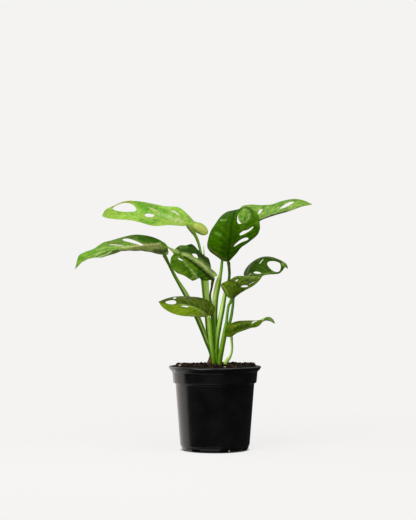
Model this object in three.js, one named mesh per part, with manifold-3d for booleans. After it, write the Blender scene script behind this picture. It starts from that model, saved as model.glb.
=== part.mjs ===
// A young swiss cheese vine in a black nursery pot, in millimetres with +Z up.
// The origin is the middle of the pot's underside and -Y is the front.
import * as THREE from 'three';
import { mergeVertices } from 'three/addons/utils/BufferGeometryUtils.js';
import Module from 'manifold-3d';

const wasm = await Module();
wasm.setup();
const { Vector3 } = THREE;

// Driving sizes: the pot, the gap round buried stems, the room cut round a blade where its stalk
// meets it, how far a stalk stops short of it, and how thick the blade and its midrib are
const POT_RADIUS = 60;
const POT_HEIGHT = 108;
const WALL = 1.3;
const GAP = 0.3;
const SEAT = 0.35;
const NECK = 0.9;
const BLADE = 0.8;
const MIDRIB = 0.9;

// Leaves and stems are laid out as seen from the front at eye height. A point further back is
// spread outward a little, so that it keeps its place in that view.
const EYE = { distance: 1692, height: 194.6 };

function seen(x, depth, z) {
  const spread = 1 + depth / EYE.distance;
  return new Vector3(x * spread, depth, EYE.height + (z - EYE.height) * spread);
}

function curveThrough(points) {
  return new THREE.CatmullRomCurve3(points.map((p) => seen(p[0], p[1], p[2])), false, 'centripetal');
}

// Seeded draw for the crumbs of the soil
function draw(seed) {
  let state = seed;
  return () => {
    state = (state * 1664525 + 1013904223) % 4294967296;
    return state / 4294967296;
  };
}

// Solids
function solidFrom(positions, triangles) {
  const vertProperties = new Float32Array(positions);
  const make = (order) => {
    const triVerts = new Uint32Array(order);
    return new wasm.Manifold(new wasm.Mesh({ numProp: 3, vertProperties, triVerts }));
  };
  const solid = make(triangles);
  if (solid.volume() > 0) return solid;
  const turned = [];
  for (let i = 0; i < triangles.length; i += 3) {
    turned.push(triangles[i], triangles[i + 2], triangles[i + 1]);
  }
  return make(turned);
}

function solidFromGeometry(geometry) {
  const bare = new THREE.BufferGeometry();
  bare.setAttribute('position', geometry.getAttribute('position').clone());
  if (geometry.index) bare.setIndex(geometry.index.clone());
  const merged = mergeVertices(bare, 1e-4);
  const index = merged.index.array;
  const kept = [];
  for (let i = 0; i < index.length; i += 3) {
    const [a, b, c] = [index[i], index[i + 1], index[i + 2]];
    if (a !== b && b !== c && a !== c) kept.push(a, b, c);
  }
  return solidFrom(Array.from(merged.getAttribute('position').array), kept);
}

// The largest body of a cut solid, without the scraps that a cut leaves
function mainBody(solid) {
  const bodies = solid.decompose();
  return bodies.reduce((best, body) => (body.volume() > best.volume() ? body : best));
}

function meshOf(name, solid, colour, roughness) {
  const data = solid.getMesh();
  const geometry = new THREE.BufferGeometry();
  const positions = new Float32Array(data.numVert * 3);
  for (let i = 0; i < data.numVert; i += 1) {
    for (let k = 0; k < 3; k += 1) positions[3 * i + k] = data.vertProperties[data.numProp * i + k];
  }
  geometry.setAttribute('position', new THREE.BufferAttribute(positions, 3));
  geometry.setIndex(new THREE.BufferAttribute(new Uint32Array(data.triVerts), 1));
  geometry.computeVertexNormals();
  const mesh = new THREE.Mesh(geometry, new THREE.MeshStandardMaterial({ color: colour, roughness }));
  mesh.name = name;
  return mesh;
}

// Tube along a smooth line. Each stop is [x, depth, z, half width, half depth if it is flattened].
const STALK_SIDES = 8;
const ROOT_SIDES = 5;

function tube(stops, grow = 0, sides = STALK_SIDES, short = 0) {
  const line = curveThrough(stops);
  const rings = (stops.length - 1) * 2;
  const positions = [];
  const triangles = [];
  for (let i = 0; i <= rings; i += 1) {
    const share = i / rings;
    const span = Math.min(Math.floor(share * (stops.length - 1)), stops.length - 2);
    const k = share * (stops.length - 1) - span;
    const ease = k * k * (3 - 2 * k);
    const [low, high] = [stops[span], stops[span + 1]];
    const width = low[3] + (high[3] - low[3]) * ease + grow;
    const lowDepth = low[4] ?? low[3];
    const depth = lowDepth + ((high[4] ?? high[3]) - lowDepth) * ease + grow;
    const along = line.getTangent(share);
    const centre = line.getPoint(share);
    if (i === 0) centre.addScaledVector(along, short - grow);
    if (i === rings) centre.addScaledVector(along, grow);
    const side = new Vector3(0, 1, 0).cross(along).normalize();
    const back = along.clone().cross(side);
    for (let j = 0; j < sides; j += 1) {
      const turn = (2 * Math.PI * (j + 0.5)) / sides;
      const p = centre.clone();
      p.addScaledVector(side, width * Math.cos(turn));
      p.addScaledVector(back, depth * Math.sin(turn));
      positions.push(p.x, p.y, p.z);
    }
  }
  for (let i = 0; i < rings; i += 1) {
    for (let j = 0; j < sides; j += 1) {
      const next = (j + 1) % sides;
      const a = i * sides + j;
      const b = i * sides + next;
      triangles.push(a, b, b + sides, a, b + sides, a + sides);
    }
  }
  const last = rings * sides;
  for (let j = 1; j < sides - 1; j += 1) {
    triangles.push(0, j + 1, j, last, last + j, last + j + 1);
  }
  return solidFrom(positions, triangles);
}

// A leaf is two halves, each stretched between the midrib and its own rim. A place on it is
// [s, t]: s runs along the rim from the stalk round the lobe to the tip, t from midrib to rim.
// The side veins run along t, forward from the midrib, and those of the lobe start at the stalk.
const LEFT = 1;
const RIGHT = -1;
const LOBE_END = 0.1;
const foot = (s) => (Math.max(0, s - LOBE_END) / (1 - LOBE_END)) ** 1.7;
const ramp = (from, to, value) => THREE.MathUtils.smoothstep(value, from, to);

function leafSurface(leaf) {
  const mid = curveThrough(leaf.mid);
  const rims = { [LEFT]: curveThrough(leaf.left), [RIGHT]: curveThrough(leaf.right) };
  const arches = {};
  for (const side of [LEFT, RIGHT]) {
    const sum = new Vector3();
    for (let i = 0; i < 40; i += 1) {
      const s = (i + 0.5) / 40;
      const at = foot(s);
      const along = mid.getPointAt(Math.min(at + 0.03, 1)).sub(mid.getPointAt(Math.max(at - 0.03, 0)));
      const across = rims[side].getPointAt(s).sub(mid.getPointAt(at));
      sum.add(along.cross(across).multiplyScalar(side));
    }
    arches[side] = sum.normalize().multiplyScalar(leaf.arch[side === LEFT ? 0 : 1]);
  }
  return (side, s, t) => {
    const p = mid.getPointAt(foot(s)).multiplyScalar(1 - t);
    p.addScaledVector(rims[side].getPointAt(s), t);
    return p.addScaledVector(arches[side], 4 * t * (1 - t) * Math.sin(Math.PI * s));
  };
}

const ALONG = [0.04, 0.08, 0.12, 0.17, 0.23, 0.3, 0.38, 0.46, 0.54, 0.62, 0.7, 0.78, 0.86, 0.93, 1];
const ACROSS = [-1, -0.6, -0.12, 0, 0.12, 0.6, 1];
const ROWS = ALONG.length;
const COLUMNS = ACROSS.length;
const MIDDLE = 3;

// Which way each corner of the blade faces. Next to the midrib, at the stalk and at the tip,
// neighbours share one direction, so that the two faces of the thin slab stay apart.
function facing(points, cells) {
  const own = points.map(() => new Vector3());
  for (const cell of cells) {
    const [a, b, c, d] = cell.map((k) => points[k]);
    const n = c.clone().sub(a).cross(d.clone().sub(b));
    for (const corner of cell) own[corner].add(n);
  }
  const rowSum = (i) => {
    const sum = new Vector3();
    for (let j = 0; j < COLUMNS; j += 1) sum.add(own[i * COLUMNS + j]);
    return sum;
  };
  const base = new Vector3();
  for (let i = 0; i < 4; i += 1) base.add(rowSum(i));
  base.normalize();
  return points.map((_, k) => {
    const [i, j] = [Math.floor(k / COLUMNS), k % COLUMNS];
    const s = ALONG[i];
    const middle = own[i * COLUMNS + MIDDLE].clone().normalize();
    middle.lerp(rowSum(i).normalize(), ramp(0.7, 0.9, s)).lerp(base, 1 - ramp(0.1, 0.2, s)).normalize();
    const share = Math.abs(j - MIDDLE) <= 1 ? 1 : Math.max(1 - ramp(0, 0.08, s), ramp(0.75, 0.95, s));
    return own[k].clone().normalize().lerp(middle, share).normalize();
  });
}

// A thin block over one four-sided cell, its side walls split the same way as its neighbours'
function block(cell, above, below) {
  const corners = cell.filter((k, i) => k !== cell[(i + 1) % cell.length]);
  const count = corners.length;
  const positions = [above, below].flatMap((face) => corners.flatMap((k) => face[k].toArray()));
  const triangles = [];
  for (let k = 1; k + 1 < count; k += 1) {
    triangles.push(0, k, k + 1, count, count + k + 1, count + k);
  }
  for (let k = 0; k < count; k += 1) {
    const next = (k + 1) % count;
    if (corners[k] < corners[next]) triangles.push(k, k + count, next + count, k, next + count, next);
    else triangles.push(k, k + count, next, next, k + count, next + count);
  }
  return solidFrom(positions, triangles);
}

// The whole blade without its holes: thin blocks joined, with the midrib raised underneath
function slab(leaf, swell = 0, shift = new Vector3()) {
  const surface = leafSurface(leaf);
  const points = ALONG.flatMap((s) => ACROSS.map((t) => surface(t < 0 ? RIGHT : LEFT, s, Math.abs(t))));
  const corner = (i, j) => (j === MIDDLE && ALONG[i] < LOBE_END ? MIDDLE : i * COLUMNS + j);
  const cells = [];
  for (let i = 0; i + 1 < ROWS; i += 1) {
    for (let j = 0; j + 1 < COLUMNS; j += 1) {
      const cell = [corner(i, j), corner(i + 1, j), corner(i + 1, j + 1), corner(i, j + 1)];
      cells.push(j < MIDDLE ? [...cell.slice(1), cell[0]] : cell);
    }
  }
  const normals = facing(points, cells);
  const face = (side) => points.map((p, k) => {
    const s = ALONG[Math.floor(k / COLUMNS)];
    const t = Math.abs(ACROSS[k % COLUMNS]);
    const rib = side < 0 && t === 0 ? MIDRIB * ramp(0.1, 0.3, s) * (1 - ramp(0.5, 0.95, s)) : 0;
    return p.clone().add(shift).addScaledVector(normals[k], side * (BLADE / 2 + rib + swell));
  });
  const [above, below] = [face(1), face(-1)];
  return wasm.Manifold.union(cells.map((cell) => block(cell, above, below)));
}

// The room that a blade takes with a gap all round it
function room(leaf, distance) {
  const shifts = [[0, 0, 0], [1, 0, 0], [-1, 0, 0], [0, 1, 0], [0, -1, 0], [0, 0, 1], [0, 0, -1]];
  return wasm.Manifold.union(shifts.map(([x, y, z]) => {
    return slab(leaf, distance, new Vector3(x, y, z).multiplyScalar(distance));
  }));
}

// A plug the shape of one hole: [side, s, t, half size along s, half size along t, slant, bow]
const HOLE_SIDES = 12;
const HOLE_REACH = 3;

function plug(leaf, [side, s0, t0, ds, dt, slant = 0, bow = 0]) {
  const surface = leafSurface(leaf);
  const step = 0.01;
  const place = (s, t) => {
    const p = surface(side, s, t);
    const alongS = surface(side, s + step, t).sub(surface(side, s - step, t));
    const alongT = surface(side, s, t + step).sub(surface(side, s, t - step));
    return { p, n: alongS.cross(alongT).normalize() };
  };
  const square = (v) => Math.sign(v) * Math.abs(v) ** 0.8;
  const spots = [place(s0, t0)];
  for (let k = 0; k < HOLE_SIDES; k += 1) {
    const turn = (2 * Math.PI * k) / HOLE_SIDES;
    const out = square(Math.cos(turn));
    const along = square(Math.sin(turn));
    spots.push(place(s0 + ds * along + slant * dt * out + bow * (1 - out * out), t0 + dt * out));
  }
  const positions = [];
  for (const face of [1, -1]) {
    for (const { p, n } of spots) {
      const q = p.clone().addScaledVector(n, face * HOLE_REACH);
      positions.push(q.x, q.y, q.z);
    }
  }
  const below = spots.length;
  const triangles = [];
  for (let k = 1; k <= HOLE_SIDES; k += 1) {
    const next = (k % HOLE_SIDES) + 1;
    triangles.push(0, k, next, below, below + next, below + k);
    triangles.push(k, below + k, below + next, k, below + next, next);
  }
  return solidFrom(positions, triangles);
}

function blade(leaf) {
  return mainBody(leaf.holes.reduce((solid, hole) => solid.subtract(plug(leaf, hole)), slab(leaf)));
}

// Leaves, each point as [x, depth, z]
const LEAVES = {
  leaf_upper_left: {
    colour: 0x8fc63a,
    mid: [[-36, 8, 290.4], [-55, 9, 295], [-85, 10, 299.3], [-118, 9, 303], [-147, 5, 303.2]],
    left: [[-37, 6, 289.4], [-45, 1, 290], [-60, -6, 291], [-80, -12, 290], [-98, -12, 294.8],
      [-112, -9, 297.5], [-130, -4, 298.7], [-142, 1, 300.5], [-147, 4.5, 302.8]],
    right: [[-34.4, 11, 290.6], [-24, 18, 281], [-14, 20, 277.5], [-9, 21, 280.5], [-10.5, 21, 287],
      [-17, 21, 293], [-26, 24, 295.5], [-35, 28, 304.5], [-47, 33, 314], [-65, 36, 315.5],
      [-82, 36, 319], [-97, 34, 321.7], [-112, 30, 322.7], [-122, 26, 320.7], [-133, 18, 315.7],
      [-143, 9, 310.7], [-147, 5.5, 303.8]],
    arch: [1.5, 2],
    holes: [[RIGHT, 0.823, 0.6, 0.076, 0.33, 0.06], [RIGHT, 0.655, 0.17, 0.038, 0.095, -0.12],
      [RIGHT, 0.44, 0.555, 0.016, 0.1, 0.445]],
  },
  leaf_middle_left: {
    colour: 0x5c9e2c,
    mid: [[-66, 0, 252.8], [-76, -1, 254.4], [-92, -2, 258.6], [-112, -2, 260.5], [-132, -2, 259],
      [-150, -3, 255], [-168, -4, 247.5], [-182, -6, 234]],
    left: [[-66, -0.5, 251.4], [-62, -3, 251.6], [-60.5, -7, 257], [-64, -10, 262], [-72, -15, 265.5],
      [-88, -20, 265.5], [-104, -22, 262.5], [-120, -21, 259.5], [-133, -20, 257.6],
      [-138.5, -21, 252.6], [-148, -20, 248.8], [-156, -16, 248.6], [-166, -10, 246.5],
      [-175, -8, 241.5], [-182, -6, 233.5]],
    right: [[-65, 1, 254.4], [-61, 5, 260], [-63, 9, 265.5], [-70, 15, 270.5], [-80, 21, 275],
      [-94, 26, 278], [-106, 27, 278.3], [-120, 25, 275.3], [-135, 21, 271], [-146, 16, 268],
      [-158, 11, 260], [-170, 5, 255.5], [-177, 0, 251.5], [-180, -3, 243], [-182, -6, 234.5]],
    arch: [-2, 1.5],
    holes: [[RIGHT, 0.458, 0.53, 0.038, 0.32, 0.14, 0.02], [RIGHT, 0.642, 0.41, 0.015, 0.18, 0.17]],
  },
  leaf_dark_left: {
    colour: 0x3f7a22,
    mid: [[-2, -6, 222], [-10, -12, 233], [-22, -17, 243.5], [-36, -20, 251.5], [-50, -22, 257.5],
      [-66, -25, 265]],
    left: [[-2.5, -7.5, 220.8], [-5, -12.5, 219.4], [-10.5, -18, 218.6], [-17, -23, 219],
      [-21.5, -27, 223], [-24, -30, 221], [-28.5, -33, 218.3], [-33, -35, 220.5],
      [-40, -37, 225], [-49, -38, 228.5],
      [-55, -37, 234], [-58, -34, 241], [-57, -31, 249], [-54, -28, 253.5], [-59, -26, 259],
      [-66, -25, 264.5]],
    right: [[-1, -5, 223.5], [3, -4, 225], [1, -2, 229], [-6, 1, 235.5], [-9.5, 3, 243],
      [-8, 5, 247], [-14, 6, 251.5], [-22, 6, 258.5], [-30, 4, 266], [-38, 0, 264.5],
      [-45, -5, 264.5], [-50, -11, 261.5], [-53, -17, 259.3], [-60, -22, 261.8], [-66, -25, 265.5]],
    arch: [2.5, 1.2],
    holes: [[RIGHT, 0.617, 0.32, 0.04, 0.13, -0.06], [LEFT, 0.729, 0.55, 0.018, 0.075, 0.3]],
  },
  leaf_dark_centre: {
    colour: 0x2f6a17,
    mid: [[17.4, -4, 243], [17.8, -12, 256], [19.5, -20, 271], [21, -24, 285], [23.5, -22, 299],
      [26, -12, 308.5], [28.5, -1, 311], [31, 10, 308]],
    left: [[16.4, -4, 242], [8.5, -4, 245.6], [0.3, -6, 251.6], [-6.5, -9, 256.6], [-10, -12, 263],
      [-8.5, -14, 274], [-5.5, -13, 283], [0.5, -9, 292.5], [7.5, -3, 302], [14.5, 3, 307.5],
      [22, 9, 309.5], [30.5, 10, 308]],
    right: [[18.5, -4, 242.2], [22, -4, 248.2], [30, -7, 257.5], [39.5, -9, 268.3], [49, -11, 273],
      [55.5, -12, 278.5], [58.6, -12, 286], [58.3, -11, 294], [57, -7, 302], [53, -2, 308],
      [47, 4, 313], [40, 9, 315], [31.5, 10, 308.5]],
    arch: [3, 3],
    holes: [[RIGHT, 0.785, 0.495, 0.09, 0.315, 0.06], [RIGHT, 0.586, 0.525, 0.022, 0.235, 0.02],
      [RIGHT, 0.462, 0.39, 0.024, 0.24, 0.02, 0.03]],
  },
  leaf_upper_right: {
    colour: 0x7dbb35,
    mid: [[35.5, 34, 291.8], [50, 34, 299], [68, 34, 304.5], [88, 33, 309.5], [108, 31, 315],
      [126.5, 29, 318]],
    left: [[34.8, 36.5, 293.8], [31, 42, 298], [29.8, 48, 304.5], [31, 53, 310.5], [36, 56, 315.8],
      [46, 57, 317.6], [60, 57, 317], [74, 56, 318], [84, 54, 321.2], [94, 50, 323.7],
      [104, 45, 325], [114, 38, 323.5], [121, 32, 320.8], [126.5, 29, 318.3]],
    right: [[35, 31, 289.5], [35.5, 25.5, 284.2], [42, 20, 284.5], [52, 16, 291], [60, 14, 297],
      [70, 13, 301], [82, 14, 304.8], [94, 17, 308], [104, 21, 311.5], [114, 25, 315.3],
      [126, 29, 317.7]],
    arch: [1.5, 1.5],
    holes: [[LEFT, 0.765, 0.46, 0.042, 0.26, 0.1], [LEFT, 0.478, 0.42, 0.019, 0.19]],
  },
  leaf_front_right: {
    colour: 0x567d1c,
    mid: [[21.5, -12, 194.6], [27, -19, 206.5], [38, -22, 215.5], [50, -22, 221], [63, -19, 226]],
    left: [[20.5, -12, 193.8], [14.3, -13, 199.6], [10.2, -14, 206.4], [7.8, -14, 213.5], [13, -14, 217],
      [20, -13, 220], [27, -11, 224], [36, -8, 224.8], [47, -8, 224.6], [56, -12, 225.2],
      [63, -19, 226.3]],
    right: [[22.8, -13, 194], [26.5, -18, 197], [32, -25, 201.4], [40, -31, 206.2], [47, -34, 209.8],
      [53, -33, 214], [58, -29, 219], [61, -24, 223.3], [63, -19, 225.7]],
    arch: [2, 2],
    holes: [[LEFT, 0.57, 0.595, 0.026, 0.06, 0.2], [RIGHT, 0.593, 0.47, 0.032, 0.26, -0.05],
      [RIGHT, 0.69, 0.685, 0.026, 0.08, 0.6]],
  },
  leaf_back_right: {
    colour: 0x3f7420,
    mid: [[41, 10, 223], [44, 9, 233], [51, 9, 242], [60, 10, 247.5], [70, 12, 248.5],
      [80, 13, 246.5], [88, 13, 242.5], [93, 12, 239.5], [94.7, 12, 234.5]],
    left: [[40, 12, 224], [37.4, 18, 226.6], [40.2, 24, 234], [46.8, 30, 241.2], [55.4, 34, 246.8],
      [65, 35, 249.8], [75, 33, 249], [83, 28, 246], [89, 21, 242.8], [93, 15, 240],
      [94.9, 12, 234.8]],
    right: [[42, 9, 222], [48, 3, 220.5], [56, -3, 222.5], [64, -6, 225.3], [72, -7, 226.6],
      [79, -5, 227], [84, -1, 228], [88, 4, 231.5], [91.5, 8, 236], [94.5, 12, 234]],
    arch: [1.5, 2],
    holes: [[RIGHT, 0.742, 0.585, 0.11, 0.33, -0.08], [RIGHT, 0.624, 0.16, 0.014, 0.07, -0.75],
      [RIGHT, 0.38, 0.6, 0.033, 0.18, 0.1], [RIGHT, 0.266, 0.23, 0.015, 0.08, 0.5]],
  },
  leaf_lower_left: {
    colour: 0x6a8a1e,
    mid: [[-9, -14, 172.5], [-13, -20, 178], [-22, -26, 182.6], [-33, -29, 186], [-46, -30, 187],
      [-60, -28, 187.4], [-73, -25, 191]],
    left: [[-9.5, -15, 171.8], [-12, -19, 171.2], [-17, -25, 171.3], [-24, -32, 171.3],
      [-34, -38, 172], [-44, -41, 173], [-54, -40, 175.5], [-63.5, -35, 180.3], [-69.5, -30, 185.3],
      [-73, -25, 190.5]],
    right: [[-8, -13, 173.5], [-4, -10, 173], [-1, -8, 177.5], [0, -6, 184], [-5, -4, 190],
      [-12, -5, 194.3], [-20, -6, 196.6], [-32, -8, 197.8], [-45, -10, 198.2], [-55, -13, 197.3],
      [-65, -18, 194.6], [-73, -25, 191.3]],
    arch: [2, 2],
    holes: [[RIGHT, 0.86, 0.33, 0.062, 0.27, -0.02], [RIGHT, 0.775, 0.8, 0.022, 0.1, -0.1],
      [LEFT, 0.69, 0.16, 0.045, 0.09]],
  },
  leaf_lower_right: {
    colour: 0x4f7c1e,
    mid: [[21.5, -10, 145.5], [26, -13.5, 151], [34, -18, 157.5], [46, -20, 161], [57, -19, 163.6],
      [65, -17, 166.8], [71.5, -14, 168.4], [77.8, -12, 163]],
    left: [[21, -9.5, 146.3], [16, -10, 145.5], [13, -11, 149], [13.5, -10, 156], [17, -9, 161],
      [22, -8, 163.5], [30, -9, 166], [42, -11, 166.7], [54, -12, 166.8], [61, -11.5, 167],
      [66, -9, 166.8], [71, -7, 166], [75.2, -9, 164], [77.5, -11.5, 162.6]],
    right: [[22, -12, 145], [24, -17, 147.3], [30, -24, 151], [38, -29, 153.8], [47, -30, 157],
      [54, -29, 158.2], [58.5, -28, 160.8], [61.5, -26.5, 164.5], [64.3, -24.5, 168.6],
      [68, -22, 171.2], [72, -19, 171], [75.8, -15.5, 168], [78, -12.5, 163.3]],
    arch: [1.5, 1.5],
    holes: [[LEFT, 0.752, 0.24, 0.036, 0.2, -0.1]],
  },
};

// The dry brown sheath of an old leaf, standing by the foot of the main shoot in its own hollow
const DRY_SHEATH = {
  mid: [[-7.2, -3.6, 106], [-7.4, -3.8, 110], [-7.2, -3.2, 115], [-6.9, -2.4, 120.6]],
  left: [[-8, -3.3, 106], [-10.6, -1.6, 108.5], [-9.9, -1.7, 113], [-8, -2, 117.5], [-7.4, -2.2, 120.6]],
  right: [[-6.4, -3.9, 106], [-3.9, -4.6, 108.5], [-4.6, -4.2, 113], [-6, -3.4, 117.5],
    [-6.5, -2.7, 120.6]],
  arch: [0.4, 0.4],
};

const SHEATH_HOLLOW = [[-7.3, -3.3, 105, 3.8, 2.8], [-7.3, -3.3, 113, 6.2, 5]];

// Stalks from the leaf down into the soil, each stop as [x, depth, z, half width, half depth]
const STALKS = {
  upperLeft: [[-35.8, 8, 290, 2.2], [-30.4, 7.6, 284.2, 2.9], [-24.6, 8.5, 275.4, 2.1], [-20, 11, 262, 1.8],
    [-16.5, 12.5, 240, 2.4], [-13.2, 11, 218, 5.1, 2.8], [-11.8, 9, 197, 4.4, 2.8], [-9.8, 7, 171, 3.6],
    [-7, 5, 141, 3.4], [-2, 3, 118, 3.6], [0, 2, 95, 3.6]],
  middleLeft: [[-66, 0.5, 252.2, 2.7], [-64, 1, 248, 2.4], [-60, 2, 240, 1.9],
    [-50.5, 4, 221.5, 2.2],
    [-37.5, 6, 200, 3.4], [-22.9, 6, 171, 3.8, 3], [-10.8, 5, 141, 3.5, 2.8], [-4, 3.5, 122, 3.2],
    [-1, 3, 95, 3]],
  darkLeft: [[-2, -6, 222, 2.2], [-3.3, -4, 216, 1.9], [-4.3, -2, 209, 1.4], [-6.2, 0, 200, 1.4],
    [-5, 1, 186, 1.9], [-2.9, 2, 165, 2.3], [-1.5, 2, 135, 2.4], [0, 2, 112, 2.4]],
  darkCentre: [[17.6, -4, 243, 2.3], [18.4, -3.2, 236, 1.9], [18.8, -2, 225, 1.8], [16.5, 0, 211, 2.1],
    [13, 1, 199, 2.6], [9.5, 2, 180, 3.2], [5.8, 2.5, 160, 3.2], [3, 3, 141, 3], [1.5, 3, 118, 3.4],
    [1, 3, 95, 3.4]],
  upperRight: [[35.5, 34, 291.8, 2.2], [27, 29, 281, 2], [17, 19, 264, 1.8], [10, 12, 247, 1.8],
    [8, 9, 231, 2], [4, 8, 213, 3.8, 2.4], [0.6, 8, 193, 3.7, 2.6], [0.8, 7, 167, 2.6],
    [1.8, 6, 141, 2.6], [2, 5, 118, 3], [1.5, 5, 95, 3]],
  lowerLeft: [[-9, -14, 172.5, 2.3], [-7.2, -10, 165, 2.4], [-6, -7, 150, 2.5], [-4.5, -5, 135, 2.5],
    [-2, -3, 118, 2.7], [0, -1, 95, 2.7]],
  frontRight: [[21.5, -12, 194.6, 2.2], [20.5, -10.5, 190.8, 2], [18, -8, 186.5, 1.8], [16.2, -5, 176, 1.8],
    [14.8, -3, 163, 2], [12.7, -2.2, 150, 2.4]],
  backRight: [[41, 10, 223, 2.2], [35, 8, 215, 2], [28.5, 3, 206, 1.8], [24.3, 1, 197, 1.8],
    [23.4, 0, 187, 1.8], [20.8, -1, 170, 2], [18, -1.5, 160, 2.2], [13.4, -2, 148, 2.6]],
  lowerRight: [[21.5, -10, 145.5, 1.9], [21.8, -9.5, 140, 1.6], [22.3, -8, 130, 1.4],
    [20.3, -6.5, 121, 1.5], [16, -5.5, 115, 2.4], [13.5, -5.5, 110, 2.6], [13, -8, 98, 2.2],
    [13, -9, 78, 1.6]],
};

// A leaf that is still rolled up, rising out of the sheath of the upper left stalk
const ROLLED = [[-14.6, 12.5, 264, 0.4], [-14.2, 12.5, 252, 0.9], [-13.6, 12, 236, 1.2],
  [-13, 11, 222, 1.2]];

// The short stems that the stalks grow from
const STEMS = {
  main: [[0.4, 3, 128, 3.4], [0.4, 2.4, 112, 4.3], [0.2, 2, 92, 4.2], [0, 2, 72, 2.6]],
  side: [[15.2, -2, 163, 2.8], [12.2, -2.6, 147, 3.3], [8.9, -3.4, 130, 3.4], [6.2, -4, 112, 3.3],
    [7, -3, 95, 3.2], [9.6, 0, 76, 2]],
};

// Thick roots that hold each stem in the soil
function rootsFrom(x, depth, z, turns) {
  return turns.map((turn) => {
    const [c, s] = [Math.cos(turn), Math.sin(turn)];
    return [[x, depth, z, 1.8], [x + 9 * c, depth + 9 * s, z - 5, 1.5],
      [x + 17 * c, depth + 17 * s, z - 16, 1.2], [x + 21 * c, depth + 21 * s, z - 30, 0.8]];
  });
}

const SHOOTS = {
  shoot_main: {
    colour: 0x6fa332,
    stems: [STEMS.main, ROLLED],
    stalks: [STALKS.upperLeft, STALKS.middleLeft, STALKS.darkLeft, STALKS.darkCentre,
      STALKS.upperRight, STALKS.lowerLeft],
    roots: rootsFrom(0, 2, 78, [1.4, 2.7, 4.1]),
    leaves: ['leaf_upper_left', 'leaf_middle_left', 'leaf_dark_left', 'leaf_dark_centre',
      'leaf_upper_right', 'leaf_lower_left'],
  },
  shoot_side: {
    colour: 0x5d8f2b,
    stems: [STEMS.side],
    stalks: [STALKS.frontRight, STALKS.backRight],
    roots: rootsFrom(9.6, 0, 80, [-0.7, 0.4]),
    leaves: ['leaf_front_right', 'leaf_back_right'],
  },
  shoot_young: {
    colour: 0x9cc24a,
    stems: [],
    stalks: [STALKS.lowerRight],
    roots: [],
    leaves: ['leaf_lower_right'],
  },
};

function shoot({ stems, stalks, roots, leaves }, grow = 0) {
  const pieces = [
    ...stems.map((stops) => tube(stops, grow)),
    ...stalks.map((stops) => tube(stops, grow, STALK_SIDES, NECK)),
    ...roots.map((stops) => tube(stops, grow, ROOT_SIDES)),
  ];
  const whole = pieces.reduce((a, b) => a.add(b));
  if (grow > 0) return whole;
  return mainBody(leaves.reduce((solid, name) => solid.subtract(room(LEAVES[name], SEAT)), whole));
}

// Pot
const STEP_HEIGHT = 86.6;
const BAND_RADIUS = { top: 55.4, bottom: 54 };
const WALL_RADIUS = { top: 51.1, bottom: 45 };
const FOOT_RADIUS = 41.2;
const FLOOR = 1.6;
const RAISED = 2.2;

const outerProfile = [
  [24, 0], [26, RAISED], [38, RAISED], [39, 0], [FOOT_RADIUS, 0], [FOOT_RADIUS + 2, 1.8],
  [FOOT_RADIUS + 2.9, 4.6], [FOOT_RADIUS + 3, 5.6], [WALL_RADIUS.bottom, 6.4],
  [WALL_RADIUS.top, STEP_HEIGHT - 1.2], [BAND_RADIUS.bottom, STEP_HEIGHT],
  [BAND_RADIUS.top, 100.8], [57.2, 102.2], [59, 104.4], [POT_RADIUS, 106.3], [59.5, 107.4],
  [58, POT_HEIGHT],
];
const innerProfile = [
  [55.6, 107.4], [BAND_RADIUS.top - WALL, 105.4], [BAND_RADIUS.bottom - WALL, STEP_HEIGHT + 1.2],
  [WALL_RADIUS.top - WALL, STEP_HEIGHT], [WALL_RADIUS.bottom - WALL, 8.2],
  [WALL_RADIUS.bottom - WALL - 1.6, 5], [WALL_RADIUS.bottom - WALL - 3, RAISED + FLOOR],
];
const DRAIN = { count: 7, width: 13, height: 3.8, from: 36, to: 47, turn: (17 * Math.PI) / 180 };

function lathe(profile, segments) {
  const line = profile.map(([r, z]) => new THREE.Vector2(r, z));
  return solidFromGeometry(new THREE.LatheGeometry(line, segments).rotateX(Math.PI / 2));
}

function pot() {
  const profile = [[0, 0], ...outerProfile, ...innerProfile, [0, RAISED + FLOOR]];
  let solid = lathe(profile, 56);
  for (let k = 0; k < DRAIN.count; k += 1) {
    const slot = new THREE.BoxGeometry(DRAIN.to - DRAIN.from, DRAIN.width, DRAIN.height * 2);
    slot.translate((DRAIN.to + DRAIN.from) / 2, 0, 0);
    slot.rotateZ(DRAIN.turn - Math.PI / 2 + (2 * Math.PI * k) / DRAIN.count);
    solid = solid.subtract(solidFromGeometry(slot));
  }
  return solid;
}

// Soil: fills the pot to just under the lip, a little higher in the middle, with crumbs on top
const SOIL = {
  rings: 9, sectors: 36, edge: 106.6, rise: 2.6, backRise: 0.7, crumb: 1.5, gap: 0.4, seed: 7,
};

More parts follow.
